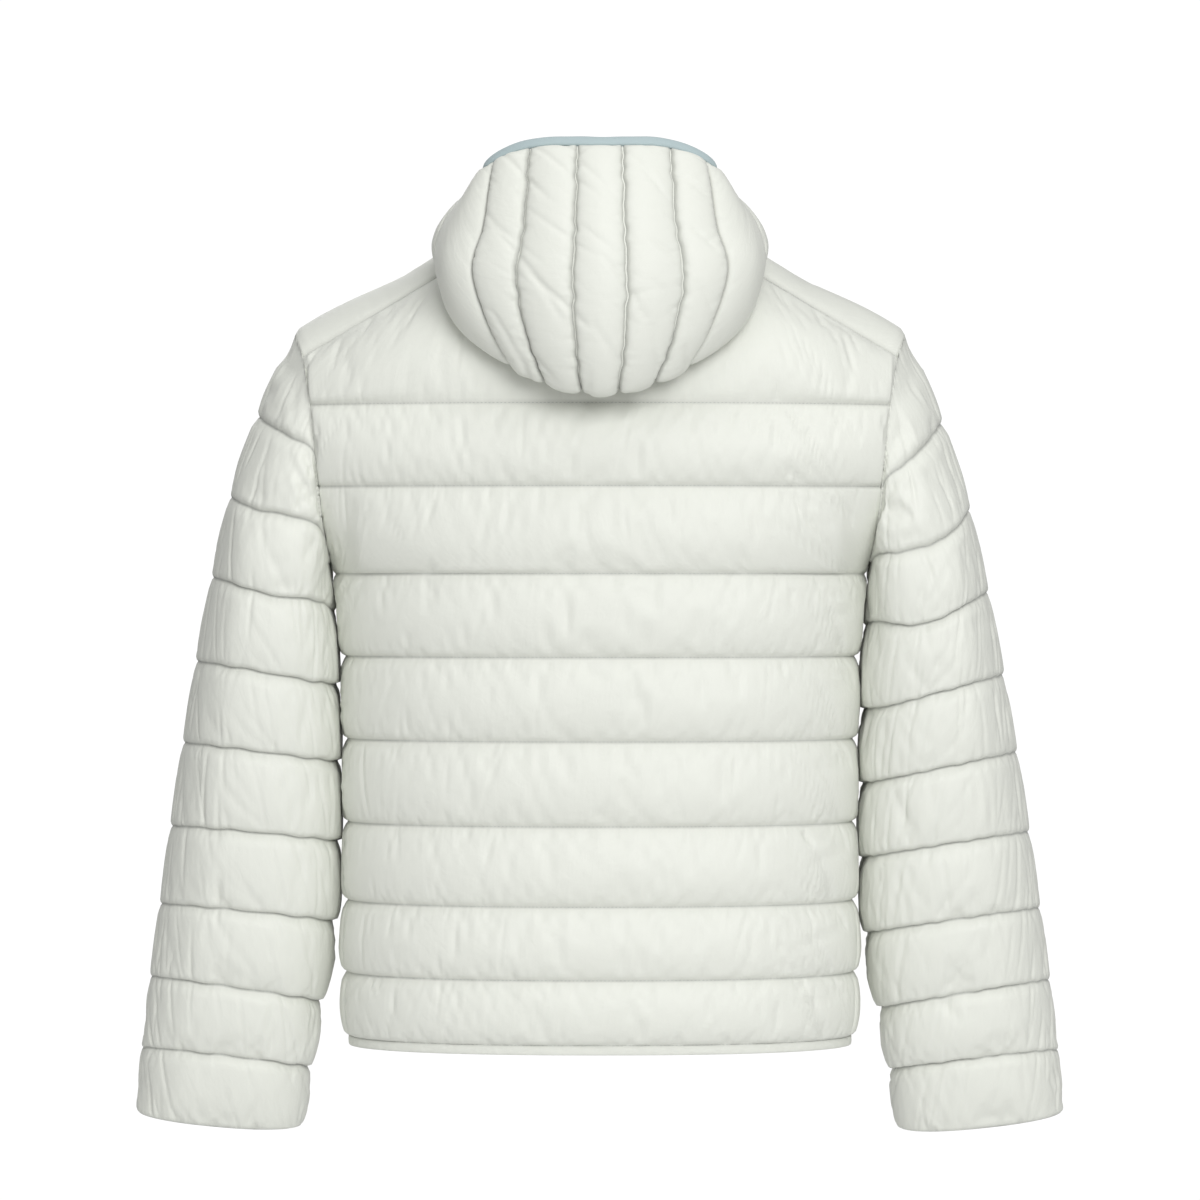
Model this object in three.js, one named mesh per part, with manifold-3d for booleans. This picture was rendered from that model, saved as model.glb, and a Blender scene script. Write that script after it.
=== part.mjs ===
// Hooded puffer jacket, filled out as worn, in millimetres with Z up
// The front faces -Y, the wearer's left is +X
// The origin lies at the middle of the neck base, where the wearer holds the jacket up
import * as THREE from 'three';
import Module from 'manifold-3d';
import { mergeVertices } from 'three/addons/utils/BufferGeometryUtils.js';

// Cloth and seams
const WALL = 2;
const SEAM_GAP = 0.3;
const HALF_GAP = SEAM_GAP / 2;
const BODY_RISE = 8;
const SLEEVE_RISE = 6;
const HOOD_RISE = 4.5;
const PRESSED_RISE = 2.5;
const SECTION_POWER = 0.87;
const NORMAL_STEP = 0.004;

// Quilting seams of the body, as heights below the neck base, the hem last
const SEAM_HEIGHTS = [-130, -199.5, -273, -343, -413.5, -484.5, -551.5, -613, -676];
const FIRST_SEAM = SEAM_HEIGHTS[0];
const HEM_LEVEL = SEAM_HEIGHTS.length;
const UNDERARM_LEVEL = 3;
const SLEEVE_END = 10;
const BAFFLE_STEPS = [0, 0.15, 0.5, 0.85];

// Body sections by height: half width at the side or armhole seam, depth behind and before the middle
const BODY_SECTIONS = [
  { z: -676, edge: 211, back: 112, front: 106 },
  { z: -613, edge: 215, back: 119, front: 114 },
  { z: -551, edge: 215, back: 119, front: 115 },
  { z: -484, edge: 216, back: 119, front: 115 },
  { z: -413, edge: 217, back: 121, front: 117 },
  { z: -343, edge: 219, back: 123, front: 119 },
  { z: -273, edge: 228, back: 125, front: 121 },
  { z: -235, edge: 234, back: 125, front: 121 },
  { z: -170, edge: 240, back: 123, front: 118 },
  { z: -130, edge: 245, back: 118, front: 112 },
  { z: -88, edge: 253, back: 110, front: 104 },
  { z: -67, edge: 262, back: 100, front: 96 },
];

// The armhole is an upright loop from the shoulder point to the underarm
const ARMHOLE_MIDDLE = -170;
const ARMHOLE_HALF_HEIGHT = 103;
const ARMHOLE_HALF_DEPTH = 78;
const ARMHOLE_SHIFT = 4;
const UNDERARM_POINT = 1.5;
const HEM_SEAM_DEPTH = 30;
const SHOULDER_SEAM_END = -88;
const SHOULDER_PARTS = 5;

// The yoke curves from the first seam up to the neck and shoulder seams
const BACK_PULL = 0.36;
const BACK_TRAVEL = { middle: [0, -0.35, 0.94], shoulder: [0, -0.75, 0.66] };
const FRONT_ANGLES = { zip: 84, shoulder: -41, power: 2.2 };
const FRONT_PULLS = { zip: 14, neck: 48, outward: 27 };
const FRONT_RISES = { zip: 0.36, neck: 0.8, outward: 0.3, lift: 12 };
const FRONT_SWING = 26;
const EDGE_SHARE_START = 0.7;

// Share of the puff that is left under the hood and over the shoulders
const HOOD_SHADE = { rise: 0.6, reach: 0.6 };
const SHOULDER_SHARE = 0.5;

// The body and the sleeves press on each other under the arms: half widths, angles and levels of that
const PRESS_HALF_WIDTHS = [195, 218];
const PRESS_ANGLES = [0.45, 0.85];
const PRESS_LEVELS = [6.4, 7.4];

// Sleeve sections from the cap to the cuff, with the outer and inner side, depth and dip behind
const SLEEVE_SECTIONS = [
  { level: 0, outer: 278, inner: 236, outerZ: -70, innerZ: -130, depth: 62, middle: 4, dip: 0 },
  { level: 1, outer: 299.5, inner: 233, outerZ: -138, innerZ: -190, depth: 74, middle: 4, dip: -6 },
  { level: 2, outer: 317, inner: 231, outerZ: -207, innerZ: -246, depth: 80, middle: 4, dip: -6 },
  { level: 3, outer: 332.5, inner: 230, outerZ: -275, innerZ: -303, depth: 81, middle: 3, dip: -8 },
  { level: 4, outer: 346, inner: 227.5, outerZ: -347, innerZ: -367, depth: 79, middle: 1, dip: -8 },
  { level: 5, outer: 357.5, inner: 226.5, outerZ: -417, innerZ: -433, depth: 76, middle: -2, dip: -7 },
  { level: 6, outer: 368.5, inner: 226.5, outerZ: -489, innerZ: -502, depth: 72, middle: -5, dip: -5 },
  { level: 7, outer: 378, inner: 231, outerZ: -556, innerZ: -571, depth: 67, middle: -8, dip: -4 },
  { level: 8, outer: 387, inner: 243, outerZ: -619, innerZ: -640, depth: 60, middle: -12, dip: -3 },
  { level: 9, outer: 395, inner: 253, outerZ: -681, innerZ: -697, depth: 50, middle: -16, dip: -2 },
  { level: 10, outer: 400, inner: 261, outerZ: -735, innerZ: -748, depth: 38, middle: -20, dip: -5 },
];
// The right sleeve is twisted a little: its seams drop by this much at each side
const RIGHT_DROPS = [
  { level: 0, outer: 4, inner: 10 },
  { level: 3, outer: 13, inner: 24 },
  { level: 6, outer: 5, inner: 14 },
  { level: 9, outer: 2, inner: 2 },
  { level: 10, outer: 0, inner: 2 },
];
const CAP_REACH = 1.8;
const CAP_SLOPE = 1.25;
const LEAST_STEP = 0.07;
const CAP_RISE_LEVELS = 0.35;
// The outer side of a sleeve is drawn taut, so that its puff is low there
const TAUT_SHARE = 0.4;
const TAUT_COSINES = [0.5, 0.95];

// Hood sections from the neckline to the rim: back middle, panel seam, rear quarter, side
const HOOD_SECTIONS = [
  { backY: 96, backZ: -38, seam: [92, 69, -16], quarter: [117, 40, -0.7], side: [126, 4, 6] },
  { backY: 122, backZ: -60, seam: [95, 96, -40], quarter: [118, 50, 8], side: [127, 9, 18] },
  { backY: 138, backZ: -98, seam: [84, 120, -78], quarter: [122, 74, -2], side: [131, 20, 22] },
  { backY: 156, backZ: -123, seam: [73, 138, -100], quarter: [124, 102, -50], side: [134, 32, 20] },
  { backY: 175, backZ: -95, seam: [92, 150, -68], quarter: [130, 114, -36], side: [136, 46, 16] },
  { backY: 182, backZ: -40, seam: [106, 152, -22], quarter: [134, 113, -11], side: [136.5, 58, 13] },
  { backY: 176, backZ: 15, seam: [97, 147, 14], quarter: [127, 109, 18], side: [131, 64, 22] },
  { backY: 160, backZ: 58, seam: [92, 136, 50], quarter: [112, 104, 42], side: [117, 62, 38] },
  { backY: 144, backZ: 82, seam: [88, 124, 69], quarter: [97, 92, 58], side: [98, 50, 47] },
];
const RIM_STAGE = HOOD_SECTIONS.length - 1;
const RIM_FLAT_STAGE = 7.4;
const RIM_LIFT = { height: 5.5, place: 1.25, stages: [6.5, 8] };
const FOLD_STAGES = [1.5, 3.2];
const POUCH_STAGE = 3;
const POUCH_MIDDLE = 60;
const POUCH_TILT = 0.4;
const STANDING_PLACES = [2.4, 3.2];
const NECK_FRONT_QUARTER = [90, -64, -41];
const RIM_FRONT_QUARTER = [66, -54, 26];
const NECK_FRONT = [0, -88, -85];
const RIM_FRONT = [0, -84, 14];
const FRONT_ROUND = 6;
const BINDING_HEIGHT = 9;
const BINDING_THICKNESS = 3.5;
const BINDING_STEPS = [0, 0.25, 0.75, 1];
const BINDING_SWELL = BINDING_THICKNESS - WALL;

// Places round the neck: 0 back middle, 1 hood panel seam, 3 side, 5 front middle
const NECK_NODES = [0, 0.2, 0.6, 1, 1.35, 1.7, 2.1, 2.5, 3, 3.5, 4, 4.5, 5];
const SHOULDER_NECK_NODE = 1.7;
const FRONT_PLACE = 5;
const PANEL_SEAM_PLACE = 1;
const PLACE_STEP = 0.05;
const NECK_FOLD = { end: 2.2, level: 0.45, drop: -0.89, climb: 0.6 };
const CENTRE_PLACES = [0, 0.1, 0.2, 0.3, 0.5, 0.6, 0.7, 0.9, 1];
const SIDE_PLACES = [1, 1.15, 1.35, 1.7, 2.1, 2.3, 2.5, 2.75, 3, 3.5, 4, 4.5, 5];
const CENTRE_CHANNELS = [0.2, 0.6, 1];
const SIDE_CHANNELS = [1, 2.3, 3.5, 5];

// Zip
const TAPE_WIDTH = 6.2;
const TAPE_THICKNESS = 1.4;
const FRONT_EDGE = TAPE_WIDTH + SEAM_GAP;
const SLIDER_HEIGHT = 11;
const SLIDER_WIDTH = 9;
const SLIDER_THICKNESS = 2.4;
const SLIDER_Z = -14;
const BAIL_HOLE = 1.8;
const BAIL_RADIUS = 3;
const BAIL_WIDTH = 2.2;
const PULL_LENGTH = 26;
const PULL_WIDTH = 7;
const PULL_THICKNESS = 1.6;
const PULL_WINDOW = 3.2;
const PULL_WINDOW_LENGTH = 4.2;
const PLATE_CORNER = 2;

const wasm = await Module();
wasm.setup();

const shell = new THREE.MeshStandardMaterial({ color: 0xe4e6df, roughness: 0.62, metalness: 0 });
const shellSleeve = new THREE.MeshStandardMaterial({ color: 0xdadbd4, roughness: 0.62, metalness: 0 });
const elastic = new THREE.MeshStandardMaterial({ color: 0xb1c3c5, roughness: 0.8, metalness: 0 });
const tape = new THREE.MeshStandardMaterial({ color: 0xcfd2cc, roughness: 0.85, metalness: 0 });
const metal = new THREE.MeshStandardMaterial({ color: 0xb9bcbd, roughness: 0.35, metalness: 0.9 });

const vector = (x, y, z) => new THREE.Vector3(x, y, z);
const fromList = (list) => vector(...list);
const lerp = THREE.MathUtils.lerp;
const clamp = THREE.MathUtils.clamp;
const power = (value) => Math.abs(value) ** SECTION_POWER;

function cubic(before, start, end, after, part) {
  const slopeIn = (end - before) / 2;
  const slopeOut = (after - start) / 2;
  const square = part * part;
  const cube = square * part;
  return start * (2 * cube - 3 * square + 1) + slopeIn * (cube - 2 * square + part)
    + end * (3 * square - 2 * cube) + slopeOut * (cube - square);
}

// A smooth value from one named column of a table, at a place along another column
function tableValue(rows, key, column, place) {
  const last = rows.length - 2;
  let row = 0;
  while (row < last && place > rows[row + 1][key]) row += 1;
  const start = rows[row];
  const end = rows[row + 1];
  const span = end[key] - start[key];
  const part = clamp((place - start[key]) / span, 0, 1);
  const before = rows[Math.max(row - 1, 0)];
  const after = rows[Math.min(row + 2, rows.length - 1)];
  const slope = (from, to) => (to[column] - from[column]) / (to[key] - from[key]) * span;
  const slopeIn = before === start ? slope(start, end) : slope(before, end);
  const slopeOut = after === end ? slope(start, end) : slope(start, after);
  return cubic(end[column] - 2 * slopeIn, start[column], end[column], start[column] + 2 * slopeOut, part);
}

// Triangles between two rows of points whose keys rise along them
function zip(triangles, first, second, flip) {
  let i = 0;
  let j = 0;
  const add = (a, b, c) => triangles.push(...(flip ? [a, c, b] : [a, b, c]));
  while (i < first.length - 1 || j < second.length - 1) {
    const secondDone = j === second.length - 1;
    const firstOpen = i < first.length - 1;
    if (firstOpen && (secondDone || first[i + 1].key <= second[j + 1].key)) {
      add(first[i].id, first[i + 1].id, second[j].id);
      i += 1;
    } else {
      add(first[i].id, second[j + 1].id, second[j].id);
      j += 1;
    }
  }
}

// One closed wall between an outer and an inner skin, each a list of columns of levelled points
function wallGeometry(outerColumns, innerColumns, closed) {
  const positions = [];
  const triangles = [];
  const number = (columns) => columns.map((column) => ({
    at: column.at,
    line: column.points.map(({ level, point }) => {
      positions.push(point.x, point.y, point.z);
      return { key: level, id: positions.length / 3 - 1 };
    }),
  }));
  const outer = number(outerColumns);
  const inner = number(innerColumns);
  const pairs = (columns) => {
    const list = columns.slice(1).map((column, index) => [columns[index], column]);
    return closed ? [...list, [columns.at(-1), columns[0]]] : list;
  };
  pairs(outer).forEach(([a, b]) => zip(triangles, a.line, b.line, false));
  pairs(inner).forEach(([a, b]) => zip(triangles, a.line, b.line, true));
  const rim = (columns, pick) => {
    const list = columns.map((column) => ({ key: column.at, id: column.line.at(pick).id }));
    return closed ? [...list, { key: Infinity, id: list[0].id }] : list;
  };
  zip(triangles, rim(outer, 0), rim(inner, 0), false);
  zip(triangles, rim(outer, -1), rim(inner, -1), true);
  if (!closed) {
    zip(triangles, outer[0].line, inner[0].line, true);
    zip(triangles, outer.at(-1).line, inner.at(-1).line, false);
  }
  return facingOut(positions, triangles);
}

function facingOut(positions, triangles) {
  const corner = (id) => vector(...positions.slice(3 * id, 3 * id + 3));
  let volume = 0;
  for (let i = 0; i < triangles.length; i += 3) {
    const [a, b, c] = triangles.slice(i, i + 3).map(corner);
    volume += a.dot(b.cross(c));
  }
  if (volume < 0) triangles.reverse();
  const geometry = new THREE.BufferGeometry();
  geometry.setAttribute('position', new THREE.Float32BufferAttribute(positions, 3));
  geometry.setIndex(triangles);
  geometry.computeVertexNormals();
  return geometry;
}

// Heights of the quilting levels, 0 at the top edge and the hem at the last
function levelHeight(level) {
  const index = clamp(Math.floor(level) - 1, 0, SEAM_HEIGHTS.length - 2);
  return lerp(SEAM_HEIGHTS[index], SEAM_HEIGHTS[index + 1], level - 1 - index);
}

const bodyValue = (column, z) => tableValue(BODY_SECTIONS, 'z', column, z);
const UNDERARM = ARMHOLE_MIDDLE - ARMHOLE_HALF_HEIGHT;

function armholePoint(angle) {
  const z = ARMHOLE_MIDDLE + ARMHOLE_HALF_HEIGHT * Math.cos(angle);
  const sine = Math.sin(angle);
  const reach = Math.cos(angle) < 0 ? Math.sign(sine) * Math.abs(sine) ** UNDERARM_POINT : sine;
  const y = ARMHOLE_SHIFT * (1 - Math.cos(angle)) + ARMHOLE_HALF_DEPTH * reach;
  return vector(bodyValue('edge', z), y, z);
}
const armholeWall = (angle) => vector(0, Math.sin(angle), Math.cos(angle));
const armholeAngle = (z) => Math.acos(clamp((z - ARMHOLE_MIDDLE) / ARMHOLE_HALF_HEIGHT, -1, 1));
const SHOULDER_ANGLE = armholeAngle(SHOULDER_SEAM_END);
const FIRST_SEAM_ANGLE = armholeAngle(FIRST_SEAM);

const sideSeamDepth = (z) => lerp(2 * ARMHOLE_SHIFT, HEM_SEAM_DEPTH,
  (UNDERARM - z) / (UNDERARM - SEAM_HEIGHTS.at(-1)));

// Angle from the middle of the back or front at which a rounded section reaches a depth
const sectionAngle = (depth, most) => Math.acos(clamp(depth / most, 0, 1) ** (1 / SECTION_POWER));

function backRow(part, z) {
  const depth = bodyValue('back', z);
  const edgeDepth = z > UNDERARM ? armholePoint(armholeAngle(z)).y : sideSeamDepth(z);
  const most = sectionAngle(edgeDepth, depth);
  const half = bodyValue('edge', z) / power(Math.sin(most));
  const angle = most * part;
  return vector(half * power(Math.sin(angle)), depth * power(Math.cos(angle)), z);
}

function frontRow(part, z) {
  const depth = bodyValue('front', z);
  const behind = bodyValue('back', z);
  const edgeDepth = z > UNDERARM ? armholePoint(-armholeAngle(z)).y : sideSeamDepth(z);
  const most = edgeDepth < 0 ? sectionAngle(-edgeDepth, depth) : Math.PI - sectionAngle(edgeDepth, behind);
  const half = bodyValue('edge', z) / power(Math.sin(most));
  const angle = most * part;
  const y = angle < Math.PI / 2 ? -depth * power(Math.cos(angle)) : behind * power(Math.cos(angle));
  return vector(half * power(Math.sin(angle)), y, z);
}

// Hood sheet: place runs round the neck, stage from the neckline to the rim
function hoodNet() {
  return HOOD_SECTIONS.map((row, stage) => {
    const part = stage / RIM_STAGE;
    const round = FRONT_ROUND * Math.sin(Math.PI * part);
    const frontQuarter = fromList(NECK_FRONT_QUARTER).lerp(fromList(RIM_FRONT_QUARTER), part);
    const front = fromList(NECK_FRONT).lerp(fromList(RIM_FRONT), part);
    return [
      vector(-row.seam[0], row.seam[1], row.seam[2]),
      vector(0, row.backY, row.backZ),
      fromList(row.seam),
      fromList(row.quarter),
      fromList(row.side),
      frontQuarter.add(vector(round, -round, 0)),
      front.add(vector(0, -round / 2, 0)),
    ];
  });
}
const HOOD_NET = hoodNet();

function splinePoint(points, place) {
  const index = clamp(Math.floor(place), 0, points.length - 2);
  const start = points[index];
  const end = points[index + 1];
  const before = points[index - 1] ?? start.clone().multiplyScalar(2).sub(end);
  const after = points[index + 2] ?? end.clone().multiplyScalar(2).sub(start);
  const mix = (axis) => cubic(before[axis], start[axis], end[axis], after[axis], place - index);
  return vector(mix('x'), mix('y'), mix('z'));
}

// The net holds one mirrored column before the back middle, and its front row starts at the zip
function hoodSmooth(place, stage) {
  const netPlace = Math.abs(place) + 1;
  const columns = HOOD_NET.map((row) => {
    const line = [...row, vector(-row[5].x, row[5].y, row[5].z)];
    return splinePoint(line, netPlace);
  });
  const point = splinePoint(columns, stage);
  point.x += FRONT_EDGE * zipShare(place);
  const beside = Math.min(Math.abs(place) / RIM_LIFT.place, 1);
  const high = THREE.MathUtils.smoothstep(stage, ...RIM_LIFT.stages);
  point.z += RIM_LIFT.height * Math.sin(Math.PI * beside) ** 2 * high;
  return point;
}

function alongNodes(place, valueAt) {
  const last = NECK_NODES.length - 2;
  let index = 0;
  while (index < last && place > NECK_NODES[index + 1]) index += 1;
  const part = (place - NECK_NODES[index]) / (NECK_NODES[index + 1] - NECK_NODES[index]);
  return valueAt(NECK_NODES[index]).lerp(valueAt(NECK_NODES[index + 1]), part);
}
const neckPoint = (place) => alongNodes(place, (node) => hoodSmooth(node, 0));

// Direction in which the collar wall lies at the neckline: into the fold behind, level at the front
function neckWallAt(place) {
  const point = hoodSmooth(place, 0);
  const flat = vector(point.x, point.y, 0).normalize();
  const fold = clamp(1 - place / NECK_FOLD.end, 0, 1);
  const sidePart = clamp((place - SHOULDER_NECK_NODE) / (FRONT_PLACE - SHOULDER_NECK_NODE), 0, 1);
  const climb = NECK_FOLD.drop * fold + NECK_FOLD.climb * Math.sin(Math.PI * sidePart) ** 2;
  return flat.multiplyScalar(lerp(1, NECK_FOLD.level, fold)).add(vector(0, 0, climb)).normalize();
}
const neckWall = (place) => alongNodes(place, neckWallAt);

// Direction across the neck seam, from the body towards the hood
function neckCrossAt(place) {
  const near = hoodSmooth(Math.max(place - PLACE_STEP, 0), 0);
  const far = hoodSmooth(Math.min(place + PLACE_STEP, FRONT_PLACE), 0);
  return far.sub(near).normalize().cross(neckWallAt(place)).normalize();
}
const neckCross = (place) => alongNodes(place, neckCrossAt);

// Shoulder seam, behind the ridge of the shoulder, from the neckline to the armhole
const SHOULDER_TRAVEL = fromList(BACK_TRAVEL.shoulder).normalize();
function shoulderPoint(part) {
  return neckPoint(SHOULDER_NECK_NODE).lerp(armholePoint(SHOULDER_ANGLE), part);
}
function shoulderWall() {
  const along = shoulderPoint(1).sub(shoulderPoint(0)).normalize();
  return along.cross(SHOULDER_TRAVEL).multiplyScalar(-1).normalize();
}

function bezier(start, startPull, endPull, end, part) {
  const rest = 1 - part;
  const point = start.clone().multiplyScalar(rest ** 3);
  point.addScaledVector(startPull, 3 * rest * rest * part);
  point.addScaledVector(endPull, 3 * rest * part * part);
  return point.addScaledVector(end, part ** 3);
}

// Share of the top edge of each panel that lies on the neck seam, the rest on the shoulder seam
const BACK_NECK_STEPS = NECK_NODES.indexOf(SHOULDER_NECK_NODE);
const FRONT_NECK_STEPS = NECK_NODES.length - 1 - BACK_NECK_STEPS;
const NECK_PART_BACK = BACK_NECK_STEPS / (BACK_NECK_STEPS + SHOULDER_PARTS);
const NECK_PART_FRONT = FRONT_NECK_STEPS / (FRONT_NECK_STEPS + SHOULDER_PARTS);

function nodeAt(indexPlace) {
  const index = clamp(Math.floor(indexPlace), 0, NECK_NODES.length - 2);
  return lerp(NECK_NODES[index], NECK_NODES[index + 1], indexPlace - index);
}
const backNeckPlace = (part) => nodeAt(part / NECK_PART_BACK * BACK_NECK_STEPS);
const frontNeckPlace = (part) => nodeAt(NECK_NODES.length - 1 - part / NECK_PART_FRONT * FRONT_NECK_STEPS);

function topEnd(part, neckPart, neckPlace) {
  if (part <= neckPart) return neckPoint(neckPlace(part));
  return shoulderPoint((part - neckPart) / (1 - neckPart));
}

// The part of a seam correction that is left at a distance from the armhole
const edgeShare = (part) => THREE.MathUtils.smoothstep(part, EDGE_SHARE_START, 1);

function backSheet(part, level) {
  if (level >= 1) return backRow(part, levelHeight(level));
  const start = backRow(part, FIRST_SEAM);
  const end = topEnd(part, NECK_PART_BACK, backNeckPlace);
  const reach = start.distanceTo(end) * BACK_PULL;
  const lean = clamp(part / NECK_PART_BACK, 0, 1);
  const travel = fromList(BACK_TRAVEL.middle).lerp(fromList(BACK_TRAVEL.shoulder), lean).normalize();
  const curve = (from, to) => {
    const fromPull = from.clone().add(vector(0, 0, reach));
    const toPull = to.clone().addScaledVector(travel, -reach);
    return bezier(from, fromPull, toPull, to, 1 - level);
  };
  const edge = armholePoint(lerp(SHOULDER_ANGLE, FIRST_SEAM_ANGLE, level))
    .sub(curve(backRow(1, FIRST_SEAM), shoulderPoint(1)));
  return curve(start, end).addScaledVector(edge, edgeShare(part));
}

// The front edge keeps clear of the zip by this share of the tape's width
const zipShare = (place) => clamp(Math.abs(place) - (FRONT_PLACE - 1), 0, 1) ** 4;

function frontSheet(part, level) {
  const point = level >= 1 ? frontRow(part, levelHeight(level)) : frontTop(part, level);
  point.x += FRONT_EDGE * (1 - part) ** 4;
  return point;
}

function frontTop(part, level) {
  const start = frontRow(part, FIRST_SEAM);
  const neckEnd = topEnd(part, NECK_PART_FRONT, frontNeckPlace);
  neckEnd.x -= FRONT_EDGE * zipShare(frontNeckPlace(Math.min(part, NECK_PART_FRONT)));
  const turn = clamp(part / NECK_PART_FRONT, 0, 1);
  const outward = clamp((part - NECK_PART_FRONT) / (1 - NECK_PART_FRONT), 0, 1);
  const degrees = lerp(FRONT_ANGLES.zip, FRONT_ANGLES.shoulder, turn ** FRONT_ANGLES.power);
  const angle = THREE.MathUtils.degToRad(degrees);
  const travel = vector(0, Math.cos(angle), Math.sin(angle));
  const pull = lerp(FRONT_PULLS.zip, FRONT_PULLS.neck, turn) + FRONT_PULLS.outward * outward;
  const rise = lerp(FRONT_RISES.zip, FRONT_RISES.neck, turn ** 1.5) + FRONT_RISES.outward * outward;
  const swing = vector(FRONT_SWING * turn ** 4 * (1 - outward) ** 3, 0, 0);
  const curve = (from, to) => {
    const fromPull = from.clone().add(vector(0, 0, rise * (to.z - from.z) + FRONT_RISES.lift * outward));
    const toPull = to.clone().addScaledVector(travel, -pull).add(swing);
    return bezier(from, fromPull, toPull, to, 1 - level);
  };
  const edge = armholePoint(lerp(SHOULDER_ANGLE, -FIRST_SEAM_ANGLE, level))
    .sub(curve(frontRow(1, FIRST_SEAM), shoulderPoint(1)));
  return curve(start, neckEnd).addScaledVector(edge, edgeShare(part));
}

// Unit normal of a sheet, turned to the side of a given direction
function sheetNormal(sheet, a, b, aRange, bRange, outward) {
  const aLow = Math.max(a - NORMAL_STEP, aRange[0]);
  const aHigh = Math.min(a + NORMAL_STEP, aRange[1]);
  const bLow = Math.max(b - NORMAL_STEP, bRange[0]);
  const bHigh = Math.min(b + NORMAL_STEP, bRange[1]);
  const along = sheet(aHigh, b).sub(sheet(aLow, b));
  const down = sheet(a, bHigh).sub(sheet(a, bLow));
  const normal = along.cross(down).normalize();
  return normal.dot(outward) < 0 ? normal.negate() : normal;
}

// Puffed height between two seams, as a half ellipse
const puff = (part) => Math.sqrt(Math.max(0, 1 - (2 * part - 1) ** 2));
const bandPuff = (level) => puff(level - Math.floor(level));

function levelList(first, last, steps) {
  const list = [];
  for (let band = first; band < last; band += 1) steps.forEach((step) => list.push(band + step));
  return [...list, last];
}
const whole = (levels) => levels.filter((level) => Number.isInteger(level));

const mirrored = (point, side) => vector(point.x * side, point.y, point.z);

function sideSeamWall(z) {
  const point = backRow(1, z);
  const ahead = backRow(0.995, z);
  const along = point.sub(ahead);
  return vector(-along.y, along.x, 0).normalize().multiplyScalar(along.y < 0 ? 1 : -1);
}

// Wall direction, seam clearance and puff at one point of a body panel
function panelSeat(sheet, neckPart, neckPlace, seamSide, part, level) {
  const shift = vector(0, 0, 0);
  const size = Math.abs(part);
  let wall = null;
  if (size > 0.999 && level <= UNDERARM_LEVEL) {
    const angle = level < 1
      ? lerp(SHOULDER_ANGLE, seamSide * FIRST_SEAM_ANGLE, level)
      : seamSide * armholeAngle(levelHeight(level));
    wall = armholeWall(angle);
    shift.x -= HALF_GAP;
  }
  if (size > 0.999 && level >= UNDERARM_LEVEL) {
    wall ??= sideSeamWall(levelHeight(level));
    shift.y += seamSide * HALF_GAP;
  }
  if (level === 0 && size <= neckPart + 1e-6) {
    wall = neckWall(neckPlace(size));
    shift.addScaledVector(neckCross(neckPlace(size)), -HALF_GAP);
  }
  if (level === 0 && size >= neckPart - 1e-6) {
    wall ??= shoulderWall();
    shift.addScaledVector(SHOULDER_TRAVEL, -seamSide * HALF_GAP);
  }
  const middle = vector(0, 0, Math.min(levelHeight(Math.max(level, 1)), ARMHOLE_MIDDLE));
  const outward = sheet(size, level).sub(middle);
  wall ??= sheetNormal(sheet, size, level, [0, 1], [0, HEM_LEVEL], outward);
  const edge = 1 - size ** 10;
  const rise = BODY_RISE * bandPuff(level) * edge;
  return { wall, shift, rise };
}

const backNodes = NECK_NODES.filter((node) => node <= SHOULDER_NECK_NODE)
  .map((node, index) => index * NECK_PART_BACK / BACK_NECK_STEPS);
const shoulderNodes = (neckPart) => Array.from({ length: SHOULDER_PARTS },
  (_, index) => lerp(neckPart, 1, (index + 1) / SHOULDER_PARTS));
const backHalf = [...backNodes, ...shoulderNodes(NECK_PART_BACK)];
const backPlaces = [...backHalf.slice(1).map((part) => -part).reverse(), ...backHalf];
const frontPlaces = [
  ...Array.from({ length: FRONT_NECK_STEPS + 1 }, (_, index) => index * NECK_PART_FRONT / FRONT_NECK_STEPS),
  ...shoulderNodes(NECK_PART_FRONT),
];
const TOP_STEPS = [0, 0.16, 0.33, 0.5, 0.67, 0.85];
const bodyLevels = levelList(0, HEM_LEVEL, BAFFLE_STEPS);
const frontLevels = [...TOP_STEPS, ...levelList(1, HEM_LEVEL, BAFFLE_STEPS)];

// Where the body and the sleeve press on each other under the arm, both puffs lie flat
function bodyPress(point, level) {
  if (level <= UNDERARM_LEVEL - 1) return 1;
  const beside = THREE.MathUtils.smoothstep(Math.abs(point.x), ...PRESS_HALF_WIDTHS);
  const high = 1 - THREE.MathUtils.smoothstep(level, ...PRESS_LEVELS);
  return 1 - beside * high * (1 - PRESSED_RISE / BODY_RISE);
}

function backPanel() {
  const sheet = (part, level) => backSheet(Math.abs(part), level);
  const columns = (places, levels, raised) => places.map((part) => {
    const side = part < 0 ? -1 : 1;
    return {
      at: part,
      points: levels.map((level) => {
        const seat = panelSeat(sheet, NECK_PART_BACK, backNeckPlace, 1, part, level);
        const base = sheet(part, level);
        const beside = Math.min(Math.abs(part) / HOOD_SHADE.reach, 1);
        const hooded = level < 1 ? lerp(HOOD_SHADE.rise, 1, beside) : 1;
        const rise = seat.rise * bodyPress(base, level) * hooded;
        const point = base.add(seat.shift).addScaledVector(seat.wall, raised ? rise : -WALL);
        return { level, point: mirrored(point, side) };
      }),
    };
  });
  const inside = [0, 0.5, ...whole(bodyLevels).slice(1)];
  return wallGeometry(columns(backPlaces, bodyLevels, true), columns(backPlaces, inside, false), false);
}

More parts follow.
